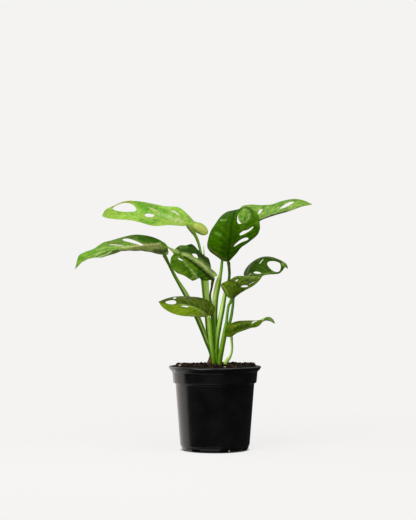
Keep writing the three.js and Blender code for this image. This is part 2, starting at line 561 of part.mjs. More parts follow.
function soil() {
  const sides = innerProfile.slice(1).map(([r, z]) => [r - SOIL.gap, z + SOIL.gap]);
  const [lip] = sides;
  const edgeRadius = lip[0] + 0.5;
  const random = draw(SOIL.seed);
  const positions = [];
  const triangles = [];
  positions.push(0, 0, SOIL.edge + SOIL.rise);
  const ringAt = (radius, height) => {
    for (let j = 0; j < SOIL.sectors; j += 1) {
      const turn = (2 * Math.PI * j) / SOIL.sectors;
      const [x, y] = [radius * Math.cos(turn), radius * Math.sin(turn)];
      positions.push(x, y, height(x, y));
    }
  };
  for (let i = 1; i <= SOIL.rings; i += 1) {
    const radius = (edgeRadius * i) / SOIL.rings;
    ringAt(radius, (x, y) => {
      const share = radius / edgeRadius;
      const crumb = i < SOIL.rings ? SOIL.crumb * (random() - 0.35) : 0;
      return SOIL.edge + SOIL.rise * (1 - share * share) + (SOIL.backRise * y) / edgeRadius + crumb;
    });
  }
  for (const [radius, z] of sides) ringAt(radius, () => z);
  const ringCount = SOIL.rings + sides.length;
  const first = 1;
  for (let j = 0; j < SOIL.sectors; j += 1) {
    triangles.push(0, first + j, first + ((j + 1) % SOIL.sectors));
  }
  for (let i = 0; i + 1 < ringCount; i += 1) {
    for (let j = 0; j < SOIL.sectors; j += 1) {
      const next = (j + 1) % SOIL.sectors;
      const a = first + i * SOIL.sectors + j;
      const b = first + i * SOIL.sectors + next;
      triangles.push(a, a + SOIL.sectors, b + SOIL.sectors, a, b + SOIL.sectors, b);
    }
  }
  const last = first + (ringCount - 1) * SOIL.sectors;
  const centre = positions.length / 3;
  positions.push(0, 0, RAISED + FLOOR + SOIL.gap);
  for (let j = 0; j < SOIL.sectors; j += 1) {
    triangles.push(centre, last + ((j + 1) % SOIL.sectors), last + j);
  }
  return solidFrom(positions, triangles);
}

// Assembly
const part = new THREE.Group();
part.name = 'potted_swiss_cheese_vine';
part.add(meshOf('pot', pot(), 0x161718, 0.35));

let ground = soil();
for (const spec of Object.values(SHOOTS)) ground = ground.subtract(shoot(spec, GAP));
ground = ground.subtract(tube(SHEATH_HOLLOW));
part.add(meshOf('soil', mainBody(ground), 0x2b1f18, 0.95));

for (const [name, spec] of Object.entries(SHOOTS)) part.add(meshOf(name, shoot(spec), spec.colour, 0.5));
part.add(meshOf('dry_sheath', slab(DRY_SHEATH), 0x5a3a22, 0.8));
for (const [name, leaf] of Object.entries(LEAVES)) part.add(meshOf(name, blade(leaf), leaf.colour, 0.4));

export default part;
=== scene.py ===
"""Looks of the potted swiss cheese vine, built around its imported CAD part.

Sizes and points are in millimetres until a mesh is made from them.
"""
import math
from collections import Counter

import bmesh
import bpy
import numpy as np
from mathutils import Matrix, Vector
from mathutils.geometry import delaunay_2d_cdt


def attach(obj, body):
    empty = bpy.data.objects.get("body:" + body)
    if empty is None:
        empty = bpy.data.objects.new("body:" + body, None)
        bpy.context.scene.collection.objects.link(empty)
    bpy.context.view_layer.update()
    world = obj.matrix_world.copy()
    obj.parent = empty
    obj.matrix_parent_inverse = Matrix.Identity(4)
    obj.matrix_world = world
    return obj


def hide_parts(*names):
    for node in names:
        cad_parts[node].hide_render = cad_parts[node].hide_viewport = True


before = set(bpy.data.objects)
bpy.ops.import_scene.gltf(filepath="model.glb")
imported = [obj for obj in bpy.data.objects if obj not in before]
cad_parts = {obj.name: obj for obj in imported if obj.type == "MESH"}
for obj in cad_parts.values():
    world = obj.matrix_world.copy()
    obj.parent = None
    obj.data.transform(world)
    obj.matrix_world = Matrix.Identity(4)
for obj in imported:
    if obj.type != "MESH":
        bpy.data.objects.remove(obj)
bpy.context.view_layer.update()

MM = 0.001
TURN = 2 * math.pi

# The view that the leaves are laid out in: the eye's distance from the pot's axis, and its height
EYE_DISTANCE = 1692.0
EYE_HEIGHT = 194.6
LOOK_AT = (-9.0, 0.0, 245.4)

# Pot and soil
POT_HEIGHT = 108.0
STEP_HEIGHT = 86.6
FLOOR_THICK = 1.6
RAISED = 2.2
POT_SEGMENTS = 224
SOIL_EDGE = 106.6
SOIL_RISE = 2.6
SOIL_RADIUS = 53.9
CRUMBS = 1500

LEFT, RIGHT, BOTH = 1, -1, 0
SIDES = (LEFT, RIGHT)


def colour(code):
    """The linear colour of an sRGB code such as 0x8fc63a"""
    channels = [(code >> shift & 255) / 255 for shift in (16, 8, 0)]
    return np.array([c / 12.92 if c <= 0.04045 else ((c + 0.055) / 1.055) ** 2.4 for c in channels])


def smoothstep(low, high, value):
    k = np.clip((np.asarray(value, float) - low) / (high - low), 0, 1)
    return k * k * (3 - 2 * k)


def hill(away, width):
    """1 at the middle, falling away smoothly over the width"""
    return np.exp(-(away / width) ** 2)


def unit(vectors):
    return vectors / np.maximum(np.linalg.norm(vectors, axis=-1, keepdims=True), 1e-9)


# Curves
def seen(points):
    """Points [x, depth, z] as seen from the eye, moved to where they really are"""
    x, depth, z = np.moveaxis(np.asarray(points, float), -1, 0)
    spread = 1 + depth / EYE_DISTANCE
    return np.stack([x * spread, depth, EYE_HEIGHT + (z - EYE_HEIGHT) * spread], -1)


def as_seen(points):
    """The [x, z] of each point as seen from the eye"""
    spread = 1 + points[:, 1] / EYE_DISTANCE
    return np.c_[points[:, 0] / spread, EYE_HEIGHT + (points[:, 2] - EYE_HEIGHT) / spread]


class Curve:
    """A smooth centripetal curve through points, read by its share of the length or of the points"""

    STEPS = 24

    def __init__(self, points):
        p = seen(points)
        p = np.vstack([2 * p[0] - p[1], p, 2 * p[-1] - p[-2]])
        line = []
        for a, b, c, d in zip(p, p[1:], p[2:], p[3:]):
            t0 = 0.0
            steps = (b - a, c - b, d - c)
            t1, t2, t3 = np.cumsum([max(np.linalg.norm(step), 1e-6) ** 0.5 for step in steps])
            t = np.linspace(t1, t2, self.STEPS, endpoint=False)[:, None]
            ab = (t1 - t) / (t1 - t0) * a + (t - t0) / (t1 - t0) * b
            bc = (t2 - t) / (t2 - t1) * b + (t - t1) / (t2 - t1) * c
            cd = (t3 - t) / (t3 - t2) * c + (t - t2) / (t3 - t2) * d
            abc = (t2 - t) / (t2 - t0) * ab + (t - t0) / (t2 - t0) * bc
            bcd = (t3 - t) / (t3 - t1) * bc + (t - t1) / (t3 - t1) * cd
            line.append((t2 - t) / (t2 - t1) * abc + (t - t1) / (t2 - t1) * bcd)
        self.line = np.vstack(line + [p[-2:-1]])
        run = np.r_[0, np.cumsum(np.linalg.norm(np.diff(self.line, axis=0), axis=1))]
        self.length = run[-1]
        self.by_length = run / run[-1]
        self.by_point = np.linspace(0, 1, len(run))

    def at(self, share):
        return read(share, self.by_length, self.line)

    def at_point(self, share):
        return read(share, self.by_point, self.line)


def read(share, places, rows):
    """Rows of three numbers, read between the places where they are known"""
    return np.stack([np.interp(share, places, rows[:, i]) for i in range(3)], -1)


# Leaf surfaces: s runs along the rim from the stalk round the lobe to the tip, t from midrib to rim
LOBE_END = 0.1
FIRST_ROW = 0.04


def foot(s):
    """Where on the midrib the row of s starts"""
    return (np.maximum(0, np.asarray(s, float) - LOBE_END) / (1 - LOBE_END)) ** 1.7


class Blade:
    """A leaf's two halves, stretched between its midrib and its rims and arched a little"""

    def __init__(self, leaf):
        self.mid = Curve(leaf["mid"])
        self.rims = {LEFT: Curve(leaf["left"]), RIGHT: Curve(leaf["right"])}
        self.arch = {}
        s = (np.arange(40) + 0.5) / 40
        for side, size in zip(SIDES, leaf["arch"]):
            along = self.mid.at(np.minimum(foot(s) + 0.03, 1)) - self.mid.at(np.maximum(foot(s) - 0.03, 0))
            across = self.rims[side].at(s) - self.mid.at(foot(s))
            total = (np.cross(along, across) * side).sum(0)
            self.arch[side] = total / np.linalg.norm(total) * size

    def half(self, side, s, t):
        s = np.asarray(s, float)[..., None]
        t = np.asarray(t, float)[..., None]
        p = self.mid.at(foot(s[..., 0])) * (1 - t) + self.rims[side].at(s[..., 0]) * t
        return p + self.arch[side] * 4 * t * (1 - t) * np.sin(math.pi * s)

    def at(self, s, u):
        """u is t on the left half and -t on the right"""
        left = self.half(LEFT, s, np.maximum(u, 0))
        right = self.half(RIGHT, s, np.maximum(-u, 0))
        return np.where((u >= 0)[..., None], left, right)

    def width(self, side, s):
        return np.linalg.norm(self.rims[side].at(s) - self.mid.at(foot(s)), axis=-1)


def hole_outline(hole, count=44):
    """A hole [side, s, t, half length, half width, slant, bow] as its side and the s and t of its edge"""
    side, s0, t0, ds, dt, *rest = hole
    slant, bow = (rest + [0, 0])[:2]
    turn = np.linspace(0, TURN, count, endpoint=False)
    out, along = (np.sign(wave) * np.abs(wave) ** 0.8 for wave in (np.cos(turn), np.sin(turn)))
    return side, s0 + ds * along + slant * dt * out + bow * (1 - out * out), t0 + dt * out


def inside(loop, points):
    """Which points lie inside a closed outline, both as [x, y] rows"""
    x, y = points[:, 0:1], points[:, 1:2]
    a = loop
    b = np.roll(loop, -1, axis=0)
    crosses = (a[:, 1] > y) != (b[:, 1] > y)
    rise = np.where(np.abs(b[:, 1] - a[:, 1]) < 1e-12, 1e-12, b[:, 1] - a[:, 1])
    at = a[:, 0] + (y - a[:, 1]) * (b[:, 0] - a[:, 0]) / rise
    return (crosses & (x < at)).sum(1) % 2 == 1


# Side veins, as shares of the rim's length: how far apart, how far off a hole, the first and the last
VEIN_SPACING = 0.085
VEIN_MARGIN = 0.02
VEIN_RANGE = (0.13, 0.97)
VEIN_BEND = 0.018


def vein_places(leaf, side):
    """Where the side veins leave the midrib: one on each flank of every hole, the rest spread between"""
    start, end = VEIN_RANGE
    reaches = [(hole[1], hole[3] + VEIN_MARGIN) for hole in leaf["holes"] if hole[0] == side]
    places = []
    for low, high in sorted((s - reach, s + reach) for s, reach in reaches) + [(end, end)]:
        gap = low - start
        if gap > 0:
            parts = max(1, round(gap / VEIN_SPACING))
            places += [start + gap * k / parts for k in range(parts)] + ([low] if low < end else [])
        start = max(start, high)
    return np.array(sorted(set(round(p, 4) for p in places)))


# The flat pattern that a blade is meshed on: rows close together beside a vein and elsewhere, and how
# far its points stay from a hole's edge
FINE = 0.45
COARSE = 1.0
CLEAR = 0.28


def pattern_rows(length, veins):
    """The s of each row across a half, closer together beside its side veins"""
    rows = set(np.linspace(FIRST_ROW, 1, int(length / COARSE)).round(5))
    for place in veins:
        rows |= set((place + np.arange(-2, 3) * FINE / length).round(5))
    rows = sorted(r for r in rows if FIRST_ROW <= r <= 1)
    keep = rows[:1]
    for row in rows[1:]:
        if row - keep[-1] > 0.3 * FINE / length:
            keep.append(row)
    keep[-1] = 1.0
    return np.array(keep)


def flat_pattern(length, width, veins):
    """Points of a leaf laid flat, as [u * width, s * length]"""
    rows = {side: pattern_rows(length, veins[side]) for side in SIDES}
    points = []
    for side in SIDES:
        near_mid = np.array([0.4, 0.9, 1.6]) / width[side]
        columns = np.r_[near_mid, np.linspace(2.6 / width[side], 1, int(width[side] / COARSE))]
        s, t = np.meshgrid(rows[side], columns, indexing="ij")
        points.append(np.c_[(side * t).ravel(), s.ravel()])
    middle = np.union1d(rows[LEFT], rows[RIGHT])
    points = np.vstack(points + [np.c_[np.zeros(len(middle)), middle]])
    return np.where(points[:, 0:1] >= 0, points * [width[LEFT], length], points * [width[RIGHT], length])


def cut_pattern(flat, loops):
    """Corners and triangles of the flat pattern with the holes left open"""
    keep = np.ones(len(flat), bool)
    for loop in loops:
        keep &= ~inside(loop, flat)
        for start, step in zip(loop, np.roll(loop, -1, axis=0) - loop):
            k = np.clip(((flat - start) @ step) / max(step @ step, 1e-9), 0, 1)
            keep &= np.linalg.norm(flat - start - k[:, None] * step, axis=1) > CLEAR
    corners = [Vector(p) for p in flat[keep]]
    edges = []
    for loop in loops:
        first = len(corners)
        corners += [Vector(p) for p in loop]
        edges += [(first + i, first + (i + 1) % len(loop)) for i in range(len(loop))]
    made, _, faces, *_ = delaunay_2d_cdt(corners, edges, [], 0, 1e-5)
    flat = np.array([(v.x, v.y) for v in made])
    faces = np.array([f for f in faces if len(f) == 3])
    for loop in loops:
        faces = faces[~inside(loop, flat[faces].mean(1))]
    return flat, faces


def closed_lobe(faces, s, u):
    """The triangles, with the rows of the lobe meeting at the stalk's end"""
    apex = (np.abs(u) < 1e-6) & (s <= LOBE_END + 1e-6)
    target = np.arange(len(u))
    target[apex] = np.flatnonzero(apex)[0]
    faces = target[faces]
    a, b, c = faces.T
    return faces[(a != b) & (b != c) & (c != a)]


def upward(faces, flat):
    """The triangles, all turned the same way up"""
    a, b, c = flat[faces].transpose(1, 0, 2)
    ab, ac = b - a, c - a
    turned = ab[:, 0] * ac[:, 1] - ab[:, 1] * ac[:, 0] > 0
    faces[turned] = faces[turned][:, ::-1]
    return faces


def corner_normals(p, faces):
    a, b, c = p[faces].transpose(1, 0, 2)
    normals = np.zeros_like(p)
    for corner in faces.T:
        np.add.at(normals, corner, np.cross(b - a, c - a))
    return unit(normals)


def open_edges(faces):
    """The edges that only one triangle has"""
    pairs = [pair for a, b, c in faces for pair in ((a, b), (b, c), (c, a))]
    count = Counter((min(pair), max(pair)) for pair in pairs)
    return [pair for pair in pairs if count[min(pair), max(pair)] == 1]


def vein_distances(blade, veins, s, u):
    """Millimetres to the midrib and to the nearest side vein, and how far each point lies between two"""
    t = np.abs(u)
    step = 0.004
    to_mid, to_vein, between = np.empty((3, len(u)))
    for side in SIDES:
        of = (u >= 0) == (side == LEFT)
        to_mid[of] = blade.width(side, s[of]) * t[of]
        bent = s[of] - VEIN_BEND * 4 * t[of] * (1 - t[of])
        ahead = blade.half(side, np.minimum(s[of] + step, 1), t[of])
        pace = np.linalg.norm(ahead - blade.half(side, s[of] - step, t[of]), axis=1) / (2 * step)
        to_vein[of] = np.abs(bent[:, None] - veins[side][None]).min(1) * pace
        ends = np.r_[-1, veins[side], 2]
        k = np.clip(np.searchsorted(ends, bent) - 1, 0, len(ends) - 2)
        low, high = ends[k], ends[k + 1]
        share = (bent - low) / np.maximum(high - low, 1e-6)
        between[of] = np.where((low < 0) | (high > 1), 0, np.sin(math.pi * share) ** 2)
    return to_mid, to_vein, between


# Relief of a blade: half its thickness, the same at its edges, and the width of each kind of vein with
# the depth of its groove above and the height of its rib below
HALF_THICK = 0.3
EDGE_THICK = 0.12
MIDRIB = {"width": 0.75, "groove": 0.34, "rib": 0.75}
SIDE_VEIN = {"width": 0.42, "groove": 0.16, "rib": 0.22}


def leaf_mesh(leaf):
    """The thin blade of a leaf with veins in relief: corners, faces and what the material reads"""
    blade = Blade(leaf)
    length = max(blade.rims[side].length for side in SIDES)
    width = {side: blade.width(side, np.linspace(0.1, 0.9, 30)).mean() for side in SIDES}
    veins = {side: vein_places(leaf, side) for side in SIDES}
    outlines = [hole_outline(hole) for hole in leaf["holes"]]
    loops = [np.c_[side * t * width[side], s * length] for side, s, t in outlines]
    flat, faces = cut_pattern(flat_pattern(length, width, veins), loops)
    u = np.clip(flat[:, 0] / np.where(flat[:, 0] >= 0, width[LEFT], width[RIGHT]), -1, 1)
    s = np.clip(flat[:, 1] / length, FIRST_ROW, 1)
    faces = upward(closed_lobe(faces, s, u), flat)
    p = blade.at(s, u)
    normals = corner_normals(p, faces)

    # Grooves above, ribs below, the blade swelling a little between its veins
    t = np.abs(u)
    to_mid, to_vein, between = vein_distances(blade, veins, s, u)
    thin = smoothstep(1.0, 0.55, s) * smoothstep(0.0, 0.15, s)
    mid_line = hill(to_mid, MIDRIB["width"])
    side_line = hill(to_vein, SIDE_VEIN["width"]) * smoothstep(0.3, 2.0, to_mid) * smoothstep(1.0, 0.75, t)
    swell = between * np.sin(math.pi * t) ** 0.7 * smoothstep(0.12, 0.2, s) * smoothstep(1, 0.85, s)
    swell = swell * leaf["quilt"]
    top = HALF_THICK - MIDRIB["groove"] * mid_line * thin - SIDE_VEIN["groove"] * side_line + swell
    low = HALF_THICK + MIDRIB["rib"] * mid_line * thin + SIDE_VEIN["rib"] * side_line - swell
    border = open_edges(faces)
    on_border = np.zeros(len(u), bool)
    on_border[np.ravel(border)] = True
    top[on_border] = low[on_border] = EDGE_THICK

    # The upper face, the lower face and the edge between them, without the points that no face uses
    used = np.zeros(len(u), bool)
    used[faces.ravel()] = True
    order = np.cumsum(used) - 1
    count = used.sum()
    faces = order[faces]
    sides = [[order[j], order[i], order[i] + count, order[j] + count] for i, j in border]
    faces = np.vstack([faces, faces[:, ::-1] + count]).tolist() + sides
    corners = np.vstack([(p + normals * top[:, None])[used], (p - normals * low[:, None])[used]])

    def twice(values):
        return np.concatenate([values[used], values[used]])

    pattern = twice(np.c_[flat, 40 * (u < 0)])
    pattern[count:, 2] += 90
    data = {
        "vein": twice(np.maximum(mid_line * smoothstep(1, 0.8, s), 0.7 * side_line)),
        "under": np.repeat([0, 1], count),
        "edge": twice(on_border),
        "tint": twice(leaf_tint(leaf, u, p)),
        "pattern": pattern * MM,
    }
    return corners, faces, data


def brushed(line, front):
    """How much a brush line of [x, z, half width] covers each point, soft at its edge"""
    cover = np.zeros(len(front))
    for a, b in zip(line, line[1:]):
        a, b = np.array(a, float), np.array(b, float)
        ab = b[:2] - a[:2]
        k = np.clip((front - a[:2]) @ ab / max(ab @ ab, 1e-9), 0, 1)
        away = np.linalg.norm(front - a[:2] - k[:, None] * ab, axis=1)
        cover = np.maximum(cover, np.exp(-(away / (a[2] + (b[2] - a[2]) * k)) ** 4))
    return cover


def leaf_tint(leaf, u, p):
    """Colour of each point: the two halves' own, then brush lines over it, some of them painted shade and
    highlights
    """
    left, right = (colour(code) for code in leaf["colours"])
    mix = smoothstep(-0.05, 0.05, u)[:, None]
    tint = right * (1 - mix) + left * mix
    for side, code, amount, *line in leaf.get("brushes", []):
        share = (amount * brushed(line, as_seen(p)) * (u * side > -0.03))[:, None]
        tint = tint * (1 - share) + colour(code) * share
    return tint


# Meshes
ATTRIBUTES = {"tint": ("FLOAT_COLOR", "color"), "pattern": ("FLOAT_VECTOR", "vector")}


def plain_mesh(name, corners, faces):
    mesh = bpy.data.meshes.new(name)
    mesh.from_pydata((np.asarray(corners) * MM).tolist(), [], faces)
    obj = bpy.data.objects.new(name, mesh)
    bpy.context.collection.objects.link(obj)
    return obj


def add_mesh(name, corners, faces, material, cad_node, data=None, sharp=None):
    obj = plain_mesh(name, corners, faces)
    for key, values in (data or {}).items():
        kind, field = ATTRIBUTES.get(key, ("FLOAT", "value"))
        if key == "tint":
            values = np.c_[values, np.ones(len(values))]
        made = obj.data.attributes.new(key, kind, "POINT")
        made.data.foreach_set(field, np.asarray(values, np.float32).ravel())
    obj.data.validate()
    obj.data.shade_smooth()
    if sharp:
        obj.data.set_sharp_from_angle(angle=math.radians(sharp))
    obj.data.materials.append(material)
    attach(obj, "root")
    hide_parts(cad_node)
    return obj


def ring(radius, turn, height):
    """Points round the axis"""
    return np.c_[radius * np.cos(turn), radius * np.sin(turn), np.broadcast_to(height, turn.shape)]


def ring_faces(rings, sectors):
    """Faces over a first point, the rings of points after it and a last point"""
    last = 1 + rings * sectors
    faces = []
    for j in range(sectors):
        after = (j + 1) % sectors
        faces.append([0, 1 + after, 1 + j])
        for i in range(rings - 1):
            a, b = 1 + i * sectors + j, 1 + i * sectors + after
            faces.append([a, b, b + sectors, a + sectors])
        faces.append([last - sectors + j, last - sectors + after, last])
    return faces


def join(parts):
    """One mesh from [corners, faces, tints] parts"""
    corners, faces, tints = [], [], []
    first = 0
    for c, f, t in parts:
        corners.append(c)
        faces += [[first + k for k in face] for face in f]
        tints.append(t)
        first += len(c)
    return np.vstack(corners), faces, np.vstack(tints)


# Stalks and stems: the turn in radians from a sheath's slit to its edges
SHEATH_EDGE = 0xd4ec88
SHEATH_EDGE_TURN = 0.48
TUBE_SIDES = 20
TUBE_STEPS = 9


def eased(values, span, ease):
    values = np.array(values, float)
    return values[span] + (values[span + 1] - values[span]) * ease


def stalk_part(stalk, short=0.0):
    """One stalk as [corners, faces, tints]: a tube along its stops [x, depth, z, half width, half depth if
    flattened], in its left and right colours, with the slit of its sheath cut in between paler edges.
    The left and right colours are partly painted light and shade: one side lit, the other shaded."""
    stops = stalk["stops"]
    curve = Curve([stop[:3] for stop in stops])
    spans = len(stops) - 1
    share = np.linspace(0, 1, spans * TUBE_STEPS + 1)
    share[0] = short / curve.length
    place = share * spans
    span = np.minimum(place.astype(int), spans - 1)
    ease = smoothstep(0, 1, place - span)
    width = eased([stop[3] for stop in stops], span, ease)
    depth = eased([stop[4] if len(stop) > 4 else stop[3] for stop in stops], span, ease)
    centre = curve.at_point(share)
    along = unit(curve.at_point(np.minimum(share + 1e-3, 1)) - curve.at_point(np.maximum(share - 1e-3, 0)))
    side = unit(np.cross([0, 1, 0], along))
    back = np.cross(along, side)
    turn = TURN * (np.arange(TUBE_SIDES) + 0.5) / TUBE_SIDES
    radius = np.ones((len(share), TUBE_SIDES))
    lit = np.zeros((len(share), TUBE_SIDES))
    if "groove" in stalk:
        at, deep, first, last = stalk["groove"]
        off = np.abs(np.angle(np.exp(1j * (turn - math.radians(at)))))
        fade = (smoothstep(first, first + 0.7, place) * smoothstep(last, last - 0.7, place))[:, None]
        cut = deep * hill(off, 0.2) * fade
        lips = 0.4 * deep * hill(off - SHEATH_EDGE_TURN, 0.18) * fade
        radius += (lips - cut) / np.maximum(depth, 0.5)[:, None]
        lit = hill(off - SHEATH_EDGE_TURN, 0.16) * fade
    tube = centre[:, None] + side[:, None] * (width[:, None] * np.cos(turn) * radius)[..., None]
    tube = tube + back[:, None] * (depth[:, None] * np.sin(turn) * radius)[..., None]
    corners = np.vstack([centre[0] - along[0] * width[0] * 0.35, tube.reshape(-1, 3), centre[-1]])
    share_of = np.r_[share[0], np.repeat(share, TUBE_SIDES), 1.0]
    turn_of = np.r_[0.0, np.tile(turn, len(share)), 0.0]
    mix = smoothstep(-0.45, 0.45, np.cos(turn_of))[:, None]
    right = graded(share_of, stalk.get("right", stalk["left"]))
    tint = right * (1 - mix) + graded(share_of, stalk["left"]) * mix
    lit = 0.75 * np.r_[0.0, lit.ravel(), 0.0][:, None]
    return corners, ring_faces(len(share), TUBE_SIDES), tint * (1 - lit) + colour(SHEATH_EDGE) * lit


def graded(share, codes):
    """The colour at each share of a line whose colours are given in even steps"""
    return read(share, np.linspace(0, 1, len(codes)), np.array([colour(code) for code in codes]))


def roots_from(x, depth, z, turns):
    """Thick roots that hold a stem in the soil"""
    reaches = [(0, 0, 1.8), (9, 5, 1.5), (17, 16, 1.2), (21, 30, 0.8)]
    roots = []
    for turn in turns:
        c, s = math.cos(turn), math.sin(turn)
        stops = [[x + out * c, depth + out * s, z - down, width] for out, down, width in reaches]
        roots.append({"stops": stops, "left": [0x8a7a50, 0x8a7a50]})
    return roots


# Materials
def new_material(name):
    material = bpy.data.materials.new(name)
    material.use_nodes = True
    return material, material.node_tree


def put(tree, value, target):
    """Links a socket to the target, or sets the target's own number, vector or linear colour"""
    if isinstance(value, bpy.types.NodeSocket):
        tree.links.new(value, target)
    else:
        target.default_value = (*value, 1) if target.type == "RGBA" else value


def node(tree, kind, inputs=None, **settings):
    """A new node with its settings, and its inputs by name or number"""
    made = tree.nodes.new(kind)
    for key, value in settings.items():
        setattr(made, key, value)
    for key, value in (inputs or {}).items():
        put(tree, value, made.inputs[key])
    return made


def own_place(tree, output="Object"):
    """Coordinates: the object's own in metres, unless another output is named"""
    return node(tree, "ShaderNodeTexCoord").outputs[output]


def attribute(tree, name, output="Fac"):
    return node(tree, "ShaderNodeAttribute", attribute_name=name).outputs[output]


def noise(tree, scale, detail=3, stretch=(1, 1, 1), place=None):
    """Noise over a place: the object's own coordinates, unless another is given"""
    mapping = node(tree, "ShaderNodeMapping", {"Vector": place or own_place(tree), "Scale": stretch})
    inputs = {"Vector": mapping.outputs["Vector"], "Scale": scale, "Detail": detail}
    return node(tree, "ShaderNodeTexNoise", inputs).outputs["Fac"]


def cells(tree, scale):
    """Distance to the edges between small cells, over the object's own coordinates"""
    inputs = {"Vector": own_place(tree), "Scale": scale}
    return node(tree, "ShaderNodeTexVoronoi", inputs, feature="DISTANCE_TO_EDGE").outputs["Distance"]


def ranged(tree, value, low, high, to_low, to_high):
    inputs = {"Value": value, "From Min": low, "From Max": high, "To Min": to_low, "To Max": to_high}
    return node(tree, "ShaderNodeMapRange", inputs).outputs["Result"]


def combined(tree, operation, first, second):
    return node(tree, "ShaderNodeMath", {0: first, 1: second}, operation=operation).outputs[0]


def mixed(tree, share, first, second, blend="MIX"):
    """Colour mix: first and second are sockets or linear colours"""
    inputs = {0: share, 6: first, 7: second}
    return node(tree, "ShaderNodeMix", inputs, data_type="RGBA", blend_type=blend).outputs[2]


def spotted(tree, base, value, low, high, most, tint, blend="MULTIPLY"):
    """The base colour, tinted by up to the most where the value goes from low to high"""
    return mixed(tree, ranged(tree, value, low, high, 0, most), base, tint, blend)


def dress(tree, base, rough, bumps, gloss=0.5, sheen=(1, 1, 1)):
    """The shader: its colour, how rough it is as [value, least, most], its chained bumps as
    [height, strength, distance in metres], and the strength and tint of its gloss"""
    shader = tree.nodes["Principled BSDF"]
    value, least, most = rough
    put(tree, base, shader.inputs["Base Color"])
    put(tree, ranged(tree, value, 0.3, 0.7, least, most), shader.inputs["Roughness"])
    put(tree, gloss, shader.inputs["Specular IOR Level"])
    put(tree, sheen, shader.inputs["Specular Tint"])
    before = {}
    for height, strength, distance in bumps:
        inputs = {"Height": height, "Strength": strength, "Distance": distance, **before}
        before = {"Normal": node(tree, "ShaderNodeBump", inputs).outputs["Normal"]}
    put(tree, before["Normal"], shader.inputs["Normal"])


STREAK_TINT = (0.6, 0.7, 0.45)
EDGE_TINT = (1.5, 1.2, 0.9)
MOTTLE = ((0.5, 0.66, 0.35), (1.35, 1.3, 1.5))


def leaf_material(name, leaf):
    """Waxy leaf: painted tints with blotches and streaks, veins, pale edges, a duller underside"""
    material, tree = new_material(name)
    dark, light = leaf.get("mottle", MOTTLE)
    blotch = noise(tree, 160, 5)
    streak = noise(tree, 420, 3, (0.2, 1, 1), attribute(tree, "pattern", "Vector"))
    base = spotted(tree, attribute(tree, "tint", "Color"), blotch, 0.42, 0.62, 0.85, dark)
    base = spotted(tree, base, streak, 0.42, 0.64, 0.7, STREAK_TINT)
    base = spotted(tree, base, noise(tree, 480), 0.54, 0.68, 0.6, light)
    for part in ("vein", "under"):
        code, most = leaf[part]
        base = mixed(tree, combined(tree, "MULTIPLY", attribute(tree, part), most), base, colour(code))
    edge = combined(tree, "MULTIPLY", attribute(tree, "edge"), 0.35)
    base = mixed(tree, edge, base, EDGE_TINT, "MULTIPLY")
    rough = (blotch, leaf["smooth"], leaf["smooth"] + 0.12)
    bumps = [(blotch, 0.35, 0.0008), (streak, 0.3, 0.0004), (cells(tree, 1300), 0.1, 0.0002)]
    dress(tree, base, rough, bumps, leaf.get("gloss", 0.06), (0.85, 1, 0.3))
    return material


def stalk_material(name):
    """Smooth fleshy stalk with faint lengthwise streaks"""
    material, tree = new_material(name)
    streak = noise(tree, 900, 3, (1, 1, 0.06))
    base = spotted(tree, attribute(tree, "tint", "Color"), streak, 0.35, 0.7, 0.35, STREAK_TINT)
    base = spotted(tree, base, noise(tree, 500, 2), 0.62, 0.75, 0.25, colour(0xb7cc84), "MIX")
    bumps = [(streak, 0.3, 0.0004), (noise(tree, 1800, 2), 0.1, 0.0002)]
    dress(tree, base, (streak, 0.34, 0.49), bumps, 0.1, (0.85, 1, 0.4))
    return material


def dry_material():
    """Papery brown sheath with fibres"""
    material, tree = new_material("dry_sheath_look")
    fibre = noise(tree, 1400, 4, (1, 1, 0.08))
    base = spotted(tree, colour(0x241006), fibre, 0.3, 0.7, 1, colour(0x7a4e2c), "MIX")
    dress(tree, base, (fibre, 0.6, 0.85), [(fibre, 0.6, 0.0005)])
    return material


def pot_material():
    """Black moulded plastic: a smooth gloss with faint scuffs and a trace of dust"""
    material, tree = new_material("pot_look")
    cloud = noise(tree, 45, 5)
    base = spotted(tree, colour(0x050505), cloud, 0.35, 0.7, 1, colour(0x0c0c0c), "MIX")
    base = spotted(tree, base, noise(tree, 1500, 2), 0.66, 0.78, 0.25, colour(0x4a443e), "MIX")
    bumps = [(noise(tree, 600, 3, (1, 1, 0.25)), 0.08, 0.0003), (noise(tree, 60, 2), 0.12, 0.0012)]
    dress(tree, base, (cloud, 0.17, 0.26), bumps, 0.45)
    return material


def soil_material():
    """Dark damp compost: the crumbs' own tints, broken up by grain"""
    material, tree = new_material("soil_look")
    grain = noise(tree, 900, 5)
    base = spotted(tree, attribute(tree, "tint", "Color"), grain, 0.35, 0.7, 0.8, (0.35, 0.3, 0.28))
    bumps = [(grain, 0.8, 0.0008), (noise(tree, 2600, 2), 0.5, 0.0003)]
    dress(tree, base, (grain, 0.95, 0.7), bumps, 0.12)
    return material


